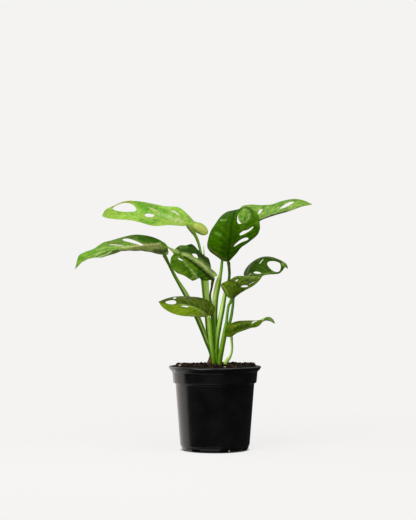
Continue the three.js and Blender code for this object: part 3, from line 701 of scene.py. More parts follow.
# Leaves: midrib and rims as points [x, depth, z], how far each half is arched, and holes as
# [side, s, t, half length, half width, slant, bow]. Then the look: the tint of each half, the colours
# of veins and underside with their shares, roughness, the swell between veins, and blotch tints.
LEAVES = {
    "leaf_upper_left": {
        "mid": [[-36, 8, 290.4], [-55, 9, 295], [-85, 10, 299.3], [-118, 9, 303], [-147, 5, 303.2]],
        "left": [[-37, 6, 289.4], [-45, 1, 290], [-60, -6, 291], [-80, -12, 290], [-98, -12, 294.8],
            [-112, -9, 297.5], [-130, -4, 298.7], [-142, 1, 300.5], [-147, 4.5, 302.8]],
        "right": [[-34.4, 11, 290.6], [-24, 18, 281], [-14, 20, 277.5], [-9, 21, 280.5], [-10.5, 21, 287],
            [-17, 21, 293], [-26, 24, 295.5], [-35, 28, 304.5], [-47, 33, 314], [-65, 36, 315.5],
            [-82, 36, 319], [-97, 34, 321.7], [-112, 30, 322.7], [-122, 26, 320.7], [-133, 18, 315.7],
            [-143, 9, 310.7], [-147, 5.5, 303.8]],
        "arch": [1.5, 2],
        "holes": [[RIGHT, 0.823, 0.6, 0.076, 0.33, 0.06], [RIGHT, 0.655, 0.17, 0.038, 0.095, -0.12],
            [RIGHT, 0.44, 0.555, 0.016, 0.1, 0.445]],
        "slot": "leaf_bright", "colours": (0x94b44a, 0x8cac46), "vein": (0xc8de7a, 0.4),
        "under": (0x9fb566, 0.5), "smooth": 0.4, "quilt": 0.35,
        "mottle": ((0.72, 0.84, 0.55), (1.12, 1.1, 1.2)),
    },
    "leaf_middle_left": {
        "mid": [[-66, 0, 252.8], [-76, -1, 254.4], [-92, -2, 258.6], [-112, -2, 260.5], [-132, -2, 259],
            [-150, -3, 255], [-168, -4, 247.5], [-182, -6, 234]],
        "left": [[-66, -0.5, 251.4], [-62, -3, 251.6], [-60.5, -7, 257], [-64, -10, 262],
            [-72, -15, 265.5], [-88, -20, 265.5], [-104, -22, 262.5], [-120, -21, 259.5],
            [-133, -20, 257.6], [-138.5, -21, 252.6], [-148, -20, 248.8], [-156, -16, 248.6],
            [-166, -10, 246.5], [-175, -8, 241.5], [-182, -6, 233.5]],
        "right": [[-65, 1, 254.4], [-61, 5, 260], [-63, 9, 265.5], [-70, 15, 270.5], [-80, 21, 275],
            [-94, 26, 278], [-106, 27, 278.3], [-120, 25, 275.3], [-135, 21, 271], [-146, 16, 268],
            [-158, 11, 260], [-170, 5, 255.5], [-177, 0, 251.5], [-180, -3, 243], [-182, -6, 234.5]],
        "arch": [-2, 1.5],
        "holes": [[RIGHT, 0.458, 0.53, 0.038, 0.32, 0.14, 0.02], [RIGHT, 0.642, 0.41, 0.015, 0.18, 0.17]],
        "slot": "leaf_green", "colours": (0x7c9c44, 0x74983c), "vein": (0xa8b878, 0.3),
        "under": (0xa9ab78, 0.1), "smooth": 0.38, "quilt": 0.4,
        "mottle": ((0.62, 0.76, 0.45), (1.15, 1.12, 1.2)),
    },
    "leaf_dark_left": {
        "mid": [[-2, -6, 222], [-10, -12, 233], [-22, -17, 243.5], [-36, -20, 251.5], [-50, -22, 257.5],
            [-66, -25, 265]],
        "left": [[-2.5, -7.5, 220.8], [-5, -12.5, 219.4], [-10.5, -18, 218.6], [-17, -23, 219],
            [-21.5, -27, 223], [-24, -30, 221], [-28.5, -33, 218.3], [-33, -35, 220.5], [-40, -37, 225],
            [-49, -38, 228.5], [-55, -37, 234], [-58, -34, 241], [-57, -31, 249], [-54, -28, 253.5],
            [-59, -26, 259], [-66, -25, 264.5]],
        "right": [[-1, -5, 223.5], [3, -4, 225], [1, -2, 229], [-6, 1, 235.5], [-9.5, 3, 243],
            [-8, 5, 247], [-14, 6, 251.5], [-22, 6, 258.5], [-30, 4, 266], [-38, 0, 264.5],
            [-45, -5, 264.5], [-50, -11, 261.5], [-53, -17, 259.3], [-60, -22, 261.8], [-66, -25, 265.5]],
        "arch": [2.5, 1.2],
        "holes": [[RIGHT, 0.617, 0.32, 0.04, 0.13, -0.06], [LEFT, 0.729, 0.55, 0.018, 0.075, 0.3]],
        "slot": "leaf_dark", "colours": (0x4c6e10, 0x284604), "vein": (0x6f8438, 0.3),
        "under": (0x7d9150, 0.1), "smooth": 0.34, "quilt": 0.45,
    },
    "leaf_dark_centre": {
        "mid": [[17.4, -4, 243], [17.8, -12, 256], [19.5, -20, 271], [21, -24, 285], [23.5, -22, 299],
            [26, -12, 308.5], [28.5, -1, 311], [31, 10, 308]],
        "left": [[16.4, -4, 242], [8.5, -4, 245.6], [0.3, -6, 251.6], [-6.5, -9, 256.6], [-10, -12, 263],
            [-8.5, -14, 274], [-5.5, -13, 283], [0.5, -9, 292.5], [7.5, -3, 302], [14.5, 3, 307.5],
            [22, 9, 309.5], [30.5, 10, 308]],
        "right": [[18.5, -4, 242.2], [22, -4, 248.2], [30, -7, 257.5], [39.5, -9, 268.3], [49, -11, 273],
            [55.5, -12, 278.5], [58.6, -12, 286], [58.3, -11, 294], [57, -7, 302], [53, -2, 308],
            [47, 4, 313], [40, 9, 315], [31.5, 10, 308.5]],
        "arch": [3, 3],
        "holes": [[RIGHT, 0.785, 0.495, 0.09, 0.315, 0.06], [RIGHT, 0.586, 0.525, 0.022, 0.235, 0.02],
            [RIGHT, 0.462, 0.39, 0.024, 0.24, 0.02, 0.03]],
        "slot": "leaf_dark", "colours": (0x3a6200, 0x3c6402), "vein": (0x1f4400, 0.6),
        "under": (0x7f9a4c, 0.4), "smooth": 0.3, "quilt": 0.5, "gloss": 0.05,
    },
    "leaf_upper_right": {
        "mid": [[35.5, 34, 291.8], [50, 34, 299], [68, 34, 304.5], [88, 33, 309.5], [108, 31, 315],
            [126.5, 29, 318]],
        "left": [[34.8, 36.5, 293.8], [31, 42, 298], [29.8, 48, 304.5], [31, 53, 310.5], [36, 56, 315.8],
            [46, 57, 317.6], [60, 57, 317], [74, 56, 318], [84, 54, 321.2], [94, 50, 323.7],
            [104, 45, 325], [114, 38, 323.5], [121, 32, 320.8], [126.5, 29, 318.3]],
        "right": [[35, 31, 289.5], [35.5, 25.5, 284.2], [42, 20, 284.5], [52, 16, 291], [60, 14, 297],
            [70, 13, 301], [82, 14, 304.8], [94, 17, 308], [104, 21, 311.5], [114, 25, 315.3],
            [126, 29, 317.7]],
        "arch": [1.5, 1.5],
        "holes": [[LEFT, 0.765, 0.46, 0.042, 0.26, 0.1], [LEFT, 0.478, 0.42, 0.019, 0.19]],
        "slot": "leaf_bright", "colours": (0x7a9c40, 0x7f984c), "vein": (0xc0d888, 0.4),
        "under": (0x9cb56c, 0.5), "smooth": 0.4, "quilt": 0.4,
    },
    "leaf_front_right": {
        "mid": [[21.5, -12, 194.6], [27, -19, 206.5], [38, -22, 215.5], [50, -22, 221], [63, -19, 226]],
        "left": [[20.5, -12, 193.8], [14.3, -13, 199.6], [10.2, -14, 206.4], [7.8, -14, 213.5],
            [13, -14, 217], [20, -13, 220], [27, -11, 224], [36, -8, 224.8], [47, -8, 224.6],
            [56, -12, 225.2], [63, -19, 226.3]],
        "right": [[22.8, -13, 194], [26.5, -18, 197], [32, -25, 201.4], [40, -31, 206.2],
            [47, -34, 209.8], [53, -33, 214], [58, -29, 219], [61, -24, 223.3], [63, -19, 225.7]],
        "arch": [2, 2],
        "holes": [[LEFT, 0.57, 0.595, 0.026, 0.06, 0.2], [RIGHT, 0.593, 0.47, 0.032, 0.26, -0.05],
            [RIGHT, 0.69, 0.685, 0.026, 0.08, 0.6]],
        "slot": "leaf_olive", "colours": (0x4a600c, 0x44580b), "vein": (0x74883a, 0.3),
        "under": (0x7f9450, 0.4), "smooth": 0.36, "quilt": 0.45,
        "mottle": ((0.38, 0.54, 0.22), (1.5, 1.4, 1.6)),
    },
    "leaf_back_right": {
        "mid": [[41, 10, 223], [44, 9, 233], [51, 9, 242], [60, 10, 247.5], [70, 12, 248.5],
            [80, 13, 246.5], [88, 13, 242.5], [93, 12, 239.5], [94.7, 12, 234.5]],
        "left": [[40, 12, 224], [37.4, 18, 226.6], [40.2, 24, 234], [46.8, 30, 241.2], [55.4, 34, 246.8],
            [65, 35, 249.8], [75, 33, 249], [83, 28, 246], [89, 21, 242.8], [93, 15, 240],
            [94.9, 12, 234.8]],
        "right": [[42, 9, 222], [48, 3, 220.5], [56, -3, 222.5], [64, -6, 225.3], [72, -7, 226.6],
            [79, -5, 227], [84, -1, 228], [88, 4, 231.5], [91.5, 8, 236], [94.5, 12, 234]],
        "arch": [1.5, 2],
        "holes": [[RIGHT, 0.742, 0.585, 0.11, 0.33, -0.08], [RIGHT, 0.624, 0.16, 0.014, 0.07, -0.75],
            [RIGHT, 0.38, 0.6, 0.033, 0.18, 0.1], [RIGHT, 0.266, 0.23, 0.015, 0.08, 0.5]],
        "slot": "leaf_dark", "colours": (0x3d5412, 0x33510a), "vein": (0x6a8240, 0.3),
        "under": (0x7b9350, 0.4), "smooth": 0.34, "quilt": 0.45,
    },
    "leaf_lower_left": {
        "mid": [[-9, -14, 172.5], [-13, -20, 178], [-22, -26, 182.6], [-33, -29, 186], [-46, -30, 187],
            [-60, -28, 187.4], [-73, -25, 191]],
        "left": [[-9.5, -15, 171.8], [-12, -19, 171.2], [-17, -25, 171.3], [-24, -32, 171.3],
            [-34, -38, 172], [-44, -41, 173], [-54, -40, 175.5], [-63.5, -35, 180.3], [-69.5, -30, 185.3],
            [-73, -25, 190.5]],
        "right": [[-8, -13, 173.5], [-4, -10, 173], [-1, -8, 177.5], [0, -6, 184], [-5, -4, 190],
            [-12, -5, 194.3], [-20, -6, 196.6], [-32, -8, 197.8], [-45, -10, 198.2], [-55, -13, 197.3],
            [-65, -18, 194.6], [-73, -25, 191.3]],
        "arch": [2, 2],
        "holes": [[RIGHT, 0.86, 0.33, 0.062, 0.27, -0.02], [RIGHT, 0.775, 0.8, 0.022, 0.1, -0.1],
            [LEFT, 0.69, 0.16, 0.045, 0.09]],
        "slot": "leaf_olive", "colours": (0x6b830f, 0x4f5e14), "vein": (0x86944a, 0.35),
        "under": (0x8f9c58, 0.3), "smooth": 0.36, "quilt": 0.4,
    },
    "leaf_lower_right": {
        "mid": [[21.5, -10, 145.5], [26, -13.5, 151], [34, -18, 157.5], [46, -20, 161], [57, -19, 163.6],
            [65, -17, 166.8], [71.5, -14, 168.4], [77.8, -12, 163]],
        "left": [[21, -9.5, 146.3], [16, -10, 145.5], [13, -11, 149], [13.5, -10, 156], [17, -9, 161],
            [22, -8, 163.5], [30, -9, 166], [42, -11, 166.7], [54, -12, 166.8], [61, -11.5, 167],
            [66, -9, 166.8], [71, -7, 166], [75.2, -9, 164], [77.5, -11.5, 162.6]],
        "right": [[22, -12, 145], [24, -17, 147.3], [30, -24, 151], [38, -29, 153.8], [47, -30, 157],
            [54, -29, 158.2], [58.5, -28, 160.8], [61.5, -26.5, 164.5], [64.3, -24.5, 168.6],
            [68, -22, 171.2], [72, -19, 171], [75.8, -15.5, 168], [78, -12.5, 163.3]],
        "arch": [1.5, 1.5],
        "holes": [[LEFT, 0.715, 0.48, 0.038, 0.36]],
        "slot": "leaf_dark", "colours": (0x546608, 0x52680c), "vein": (0x6f8a38, 0.3),
        "under": (0x74894a, 0.4), "smooth": 0.36, "quilt": 0.35,
        "mottle": ((0.38, 0.54, 0.22), (1.5, 1.4, 1.6)),
    },
}

# Brush lines over each leaf's tint, as side, colour, amount and points [x, z, half width] as seen
# Some brush lines are the leaves' own tones; others are painted shade and shadow under folds and curled
# edges, and painted highlights and sheen.
BRUSHES = {
    "leaf_upper_left": [
        [RIGHT, 0x5c9824, 0.85, [-101.4, 319.5, 3.9], [-92.3, 314.3, 5.2], [-84.5, 306.5, 3.2]],
        [BOTH, 0x649a34, 0.8, [-84.5, 315.6, 3.2], [-74.1, 311.7, 3.2], [-61, 306.5, 2.6]],
        [BOTH, 0x7cb44c, 0.8, [-113.1, 303.9, 1.3], [-100.1, 308.5, 1.6], [-84.5, 307.8, 1.6]],
        [LEFT, 0x62982c, 0.85, [-96.2, 296.1, 2.9], [-84.5, 293.5, 2.6], [-74.1, 297.4, 3.2],
            [-75.4, 302.6, 2]],
        # Painted reflection: a grey-green sheen across the blade.
        [BOTH, 0x9ab874, 0.7, [-74.1, 305.2, 2.6], [-61, 301.3, 3.2], [-45.4, 296.1, 2.6]],
        [BOTH, 0xb9b58a, 0.7, [-55.8, 298.7, 1.3], [-48, 297.4, 1.6], [-41.5, 294.8, 1.3]],
        [BOTH, 0xc4b89a, 0.7, [-87.1, 314.3, 0.7], [-81.9, 311.7, 0.8], [-75.4, 309.1, 0.8]],
        [BOTH, 0x6f9c40, 0.8, [-89.7, 307.8, 0.7], [-74.1, 302.6, 0.8], [-58.4, 297.4, 0.8]],
        [LEFT, 0x98c84c, 0.6, [-141.7, 306.5, 2.6], [-117, 301.3, 2.6], [-97.5, 300, 2]],
        [RIGHT, 0x9a8a30, 0.8, [-133.9, 315, 0.9], [-126.1, 317.5, 1.3], [-118.3, 320.5, 1.4],
            [-109.2, 321.8, 1.4]],
        [RIGHT, 0x98c848, 0.7, [-71.5, 314.3, 2], [-50.6, 313.7, 2], [-37.6, 303.9, 2.6]],
        [RIGHT, 0xccd070, 0.85, [-24.6, 289.6, 3.9], [-15.5, 285.7, 5.2], [-11.6, 280.5, 2.6]],
        [RIGHT, 0x6a7c14, 0.9, [-36.3, 290.9, 1.8], [-31.1, 285.7, 2.6], [-27.2, 280.5, 3.1]],
    ],
    "leaf_middle_left": [
        [RIGHT, 0x4a820c, 0.95, [-97.5, 274, 3.2], [-84.5, 271.4, 5.2], [-74.1, 267.5, 4.5],
            [-67.5, 263.6, 2.6]],
        [RIGHT, 0x6aa030, 0.7, [-105.3, 277.9, 1.6], [-94.9, 278.8, 1.6], [-84.5, 276.6, 1.3]],
        [BOTH, 0x6a9c2c, 0.85, [-180.8, 242.8, 3.9], [-175.6, 251.9, 5.2], [-165.2, 255.8, 5.2],
            [-154.7, 259.7, 3.9]],
        [BOTH, 0x9ca65c, 0.95, [-115.7, 260.3, 2.9], [-100.1, 261.9, 3.2], [-84.5, 262.9, 3.6],
            [-71.5, 263.6, 3.2]],
        [BOTH, 0xc4c090, 0.8, [-123.5, 261.5, 0.8], [-105.3, 263.1, 0.9], [-87.1, 265.4, 1],
            [-71.5, 266.7, 1.3]],
        # Painted shade: the dark patch at the base, where the near half curls under.
        [BOTH, 0x2c4408, 0.95, [-78, 257.1, 2.9], [-68.8, 255.8, 3.6], [-62.3, 258.4, 2.3]],
        # Painted shade: the dark line along the lower edge, the shaded underside of the midrib.
        [LEFT, 0x3c4a1c, 0.9, [-126.1, 256.6, 1], [-110.5, 257.6, 1], [-94.9, 257.6, 1.3],
            [-81.9, 255.2, 1.6]],
        [LEFT, 0x4c6a14, 0.95, [-153.4, 248.6, 1.6], [-144.3, 251.9, 2.9], [-136.5, 255.8, 2.6],
            [-126.1, 257.9, 1.3]],
        [LEFT, 0xb8c890, 0.9, [-154.7, 252.8, 0.8], [-145.6, 256.3, 0.8], [-137.8, 260.5, 0.8]],
        [LEFT, 0xa8bc80, 0.8, [-152.1, 248.7, 0.7], [-141.7, 252.4, 0.7], [-135.2, 256.3, 0.7]],
        [RIGHT, 0x7a6a2c, 0.8, [-140.4, 267.1, 0.8], [-131.3, 267.5, 0.8], [-123.5, 266.7, 0.8]],
        [BOTH, 0x9fb86a, 0.6, [-154.7, 258.4, 1], [-139.1, 261.6, 1], [-123.5, 262.9, 1],
            [-107.9, 262.9, 1]],
    ],
    "leaf_dark_left": [
        [RIGHT, 0x587c2c, 0.7, [-44.1, 262.3, 3.2], [-37.6, 262.3, 2.3]],
        [RIGHT, 0x1c3402, 0.8, [-35, 266.2, 1.6], [-28.5, 262.3, 2.1], [-20.7, 255.8, 2.1],
            [-15.5, 248, 1.8]],
        # Painted highlight: the pale crest of the folded midrib near the tip.
        [BOTH, 0x98ac62, 0.85, [-63.6, 266.2, 1.3], [-55.8, 259.7, 2.6], [-48, 255.1, 2.1]],
        [LEFT, 0x3a5c05, 0.8, [-54.5, 242.8, 3.2], [-45.4, 237.5, 3.9], [-35, 231, 2.6]],
        [LEFT, 0x5a7a1c, 0.6, [-37.6, 242.8, 2.1], [-32.4, 236.2, 2.3], [-28.5, 229.7, 2.1]],
        # Painted shade: the basal lobe lying in shadow.
        [LEFT, 0x2c5512, 0.9, [-20.7, 230.4, 2.6], [-19.4, 223.2, 3.9], [-15.5, 219.3, 2.6]],
        # Painted highlight: the pale band along the folded midrib, where it catches the light.
        [BOTH, 0x98a860, 0.95, [-42.8, 253.8, 2], [-32.4, 249.9, 3.6], [-19.4, 242.4, 4.2],
            [-11.6, 235.2, 4.4], [-5.1, 229.7, 4.2], [1.4, 223.2, 2.9]],
        [BOTH, 0x4c5c24, 0.85, [-37.6, 255.1, 0.8], [-25.9, 249.8, 0.8], [-15.5, 243.3, 0.8],
            [-6.4, 235.5, 0.8]],
        [BOTH, 0x6a5c34, 0.7, [-29.8, 246.7, 0.7], [-20.7, 240.2, 0.7], [-12.9, 233, 0.7]],
        # Painted highlight: a brighter line on that band.
        [BOTH, 0xc4cc98, 0.8, [-32.4, 248.9, 0.8], [-20.7, 242.2, 0.9], [-10.3, 233.6, 1],
            [-2.5, 225.8, 0.9]],
        # Painted shadow: the dark line beside the pale band, where the near half falls into the fold's
        # shade.
        [BOTH, 0x1c2c04, 0.95, [-40.2, 249.3, 1.2], [-32.4, 244.3, 1.7], [-23.3, 237.5, 2],
            [-16.8, 231.6, 2.1], [-10.3, 225.8, 2.2], [-3.8, 219.3, 2]],
        [LEFT, 0xa4b078, 0.6, [-48, 249.9, 0.7], [-41.5, 244.1, 0.7], [-33.7, 235.6, 0.8],
            [-27.2, 227.8, 1], [-23.3, 221.9, 1.2]],
        [LEFT, 0x2c4804, 0.8, [-44.1, 242.1, 1.2], [-36.3, 232.3, 1.3], [-31.1, 224.5, 1.3]],
        [LEFT, 0x8b9a50, 0.7, [-32.4, 220, 1.3], [-27.9, 223.2, 1.6]],
        [LEFT, 0x6a8432, 0.5, [-53.2, 234.9, 1], [-42.8, 227.1, 1], [-35, 220.6, 1]],
    ],
    "leaf_dark_centre": [
        [RIGHT, 0x86a460, 0.75, [46.5, 305.9, 0.7], [44.6, 299.4, 0.8], [39.8, 294.8, 0.8]],
        [RIGHT, 0x64822a, 0.6, [33.3, 287, 1.2], [38.5, 289.6, 1.3]],
        [LEFT, 0x2a4b04, 0.6, [23.6, 307.8, 3.2], [17, 289.6, 5.2], [14.4, 271.4, 5.2],
            [13.1, 253.2, 5.2]],
        [RIGHT, 0x2e4c08, 0.6, [24.9, 287, 3.9], [26.2, 271.4, 3.9], [22.3, 255.8, 3.9]],
        [RIGHT, 0x527814, 0.6, [48.3, 313, 3.2], [54.8, 305.2, 3.9], [56.1, 292.2, 3.9]],
        [BOTH, 0x203904, 0.85, [27.5, 313, 1.3], [21.6, 292.2, 1.6], [19.7, 271.4, 1.7], [17.7, 250.6, 2],
            [17.7, 242.8, 2]],
        # Painted highlights: soft reflections of the light on the blade, this line and the next.
        [LEFT, 0x8ea65c, 0.75, [7.9, 296.8, 1.3], [14.4, 297.4, 1]],
        [LEFT, 0x5c8030, 0.6, [1.4, 280.5, 2.1], [7.9, 277.9, 2.3]],
        [LEFT, 0x6b6a32, 0.8, [-10.3, 264.9, 0.9], [-2.5, 257.1, 1], [7.9, 249.3, 1], [15.7, 246.7, 1]],
        [RIGHT, 0x77803e, 0.6, [32.7, 294.8, 1.6], [40.5, 298.1, 1.6]],
        [RIGHT, 0x5a5a1e, 0.6, [22.3, 314.3, 1], [32.7, 318.9, 1], [45.7, 318.2, 1]],
    ],
    "leaf_upper_right": [
        [LEFT, 0x5a8a2c, 0.8, [76.9, 316.3, 2], [87.3, 319.5, 2.3], [96.4, 323.4, 1.8]],
        [LEFT, 0x62942a, 0.8, [32, 313, 2.6], [34, 305.9, 3.1], [36.6, 300, 2.9]],
        [LEFT, 0x50742a, 0.8, [32.7, 295.5, 2], [39.2, 296.1, 2.1]],
        [LEFT, 0x466a10, 0.75, [41.8, 311.1, 1.6], [41.8, 305.2, 2], [40.5, 298.7, 2]],
        [BOTH, 0xa5c070, 0.5, [61.3, 306.5, 1], [84.7, 313, 1], [110.8, 316.9, 0.9]],
        # Painted shade: the near-black strip along the lower edge, where the near half curls under.
        [RIGHT, 0x1f2a08, 0.95, [56.1, 295.7, 1.3], [63.9, 298.7, 1.3], [74.3, 303.1, 1.2],
            [84.7, 306.1, 0.9], [93.8, 309.1, 0.7]],
    ],
    "leaf_front_right": [
        [BOTH, 0x334806, 0.6, [24.9, 208.9, 2.6], [32.7, 214.1, 2.6], [41.8, 218, 2.6]],
        [BOTH, 0x577a26, 0.6, [21, 198.5, 2.6], [18.4, 193.3, 2.6]],
        [RIGHT, 0x62741c, 0.6, [37.9, 206.3, 1.3], [48.3, 211.5, 1.3], [57.4, 219.3, 1.3]],
        [LEFT, 0x2e3a06, 0.75, [17, 218.7, 1.2], [23.6, 216.7, 1.6], [30.1, 216.1, 1.6]],
        [BOTH, 0x6a7a2c, 0.6, [14.4, 206.3, 0.9], [23.6, 212.8, 0.9], [36.6, 220, 0.9],
            [48.3, 221.9, 0.8]],
        [RIGHT, 0x303c04, 0.7, [24.9, 201.1, 1.6], [36.6, 207.1, 1.6], [48.3, 214.9, 1.3]],
        [LEFT, 0x5f7410, 0.5, [6.6, 212.8, 2], [14.4, 214.1, 2.6]],
        [LEFT, 0x74843a, 0.85, [27.5, 223, 1.4], [40.5, 223.5, 1.3], [53.5, 223.2, 1.4],
            [62.6, 223.9, 1.2]],
        [BOTH, 0x8c9f4e, 0.7, [7.9, 215.4, 1], [13.1, 207.6, 1], [19.7, 194.6, 1.3]],
        [BOTH, 0x1f3602, 0.85, [28.1, 214.8, 1.3], [32, 212.2, 1.6], [30.7, 208.9, 1.2]],
        [BOTH, 0x2c3c06, 0.8, [41.8, 218.5, 1.2], [46.3, 216.7, 1.3], [44.4, 214.1, 0.9]],
        [BOTH, 0x7c8a30, 0.7, [49.6, 220.9, 1.3], [54.8, 220.4, 1.3], [58, 221.9, 1]],
    ],
    "leaf_back_right": [
        [BOTH, 0x29430a, 0.6, [53.5, 237.5, 3.2], [61.3, 232.3, 3.2], [48.3, 232.3, 2.6]],
        [LEFT, 0x5f6a36, 0.85, [52.2, 245.4, 2], [61.3, 249.3, 2.1], [71.7, 249.3, 2], [79.5, 246.7, 1.8],
            [86, 242.8, 1.6]],
        [BOTH, 0x7a9440, 0.7, [88.6, 240.2, 2.6], [92.5, 237.5, 2], [91.2, 233.6, 1.3]],
        [RIGHT, 0x6b8438, 0.6, [48.3, 226.5, 1.3], [61.3, 225.8, 1.6], [71.7, 228.4, 1.3],
            [79.5, 230.4, 1.3]],
    ],
    "leaf_lower_left": [
        [RIGHT, 0x707a3c, 0.7, [-48, 195.9, 2], [-37.6, 197.2, 2], [-25.9, 195.9, 2.1]],
        [RIGHT, 0x3a4e08, 0.7, [-42.8, 190.7, 2.1], [-32.4, 188.7, 2.3], [-22, 185.5, 2.3]],
        [RIGHT, 0x6a7636, 0.6, [-37.6, 193.3, 1.3], [-28.5, 192.6, 2]],
        [LEFT, 0x859a2a, 0.5, [-48, 181.6, 2.6], [-37.6, 179, 2.6]],
        [LEFT, 0x7f8c48, 0.7, [-32.4, 173.1, 1.6], [-22, 172.5, 1.8], [-14.2, 172.5, 1.3]],
        [BOTH, 0x8b9a52, 0.8, [-48, 188.1, 0.7], [-32.4, 185.5, 0.8], [-22, 180.9, 1],
            [-14.2, 175.1, 1.6], [-9, 169.9, 2]],
        [RIGHT, 0x33480a, 0.7, [-19.4, 182.2, 1], [-10.3, 177, 1.3]],
    ],
    "leaf_lower_right": [
        [BOTH, 0x4f7a10, 0.6, [14.4, 156.9, 3.2], [17, 149, 2.6]],
        [BOTH, 0x304404, 0.7, [32.7, 158.2, 2], [41.8, 160.1, 2]],
        [BOTH, 0x6f7c38, 0.7, [23.6, 159.5, 0.8], [32.7, 162.7, 0.8], [45.7, 163.9, 0.8]],
        [LEFT, 0x9c9a6c, 0.85, [27.5, 166.5, 1.2], [40.5, 167.3, 1.2], [53.5, 167.3, 1.2]],
        [BOTH, 0x24380a, 0.8, [27.5, 156.2, 1.8], [36.6, 158.2, 2.1], [44.4, 160.5, 1.7]],
        [BOTH, 0x33400a, 0.8, [23.6, 153, 1.2], [32.7, 155.2, 1], [45.7, 158.4, 0.9], [53.5, 160.4, 0.9]],
        [LEFT, 0x3c3c0c, 0.8, [21, 163.4, 0.9], [27.5, 165.2, 0.8], [34, 165.7, 0.7]],
        [BOTH, 0x7d9424, 0.7, [25.5, 159.7, 0.8], [32, 161.5, 0.8]],
        [BOTH, 0x9cc858, 0.95, [62.6, 168.6, 2.1], [69.1, 171.2, 2.6], [74.3, 167.9, 2.2],
            [76.9, 164, 1.6]],
    ],
}
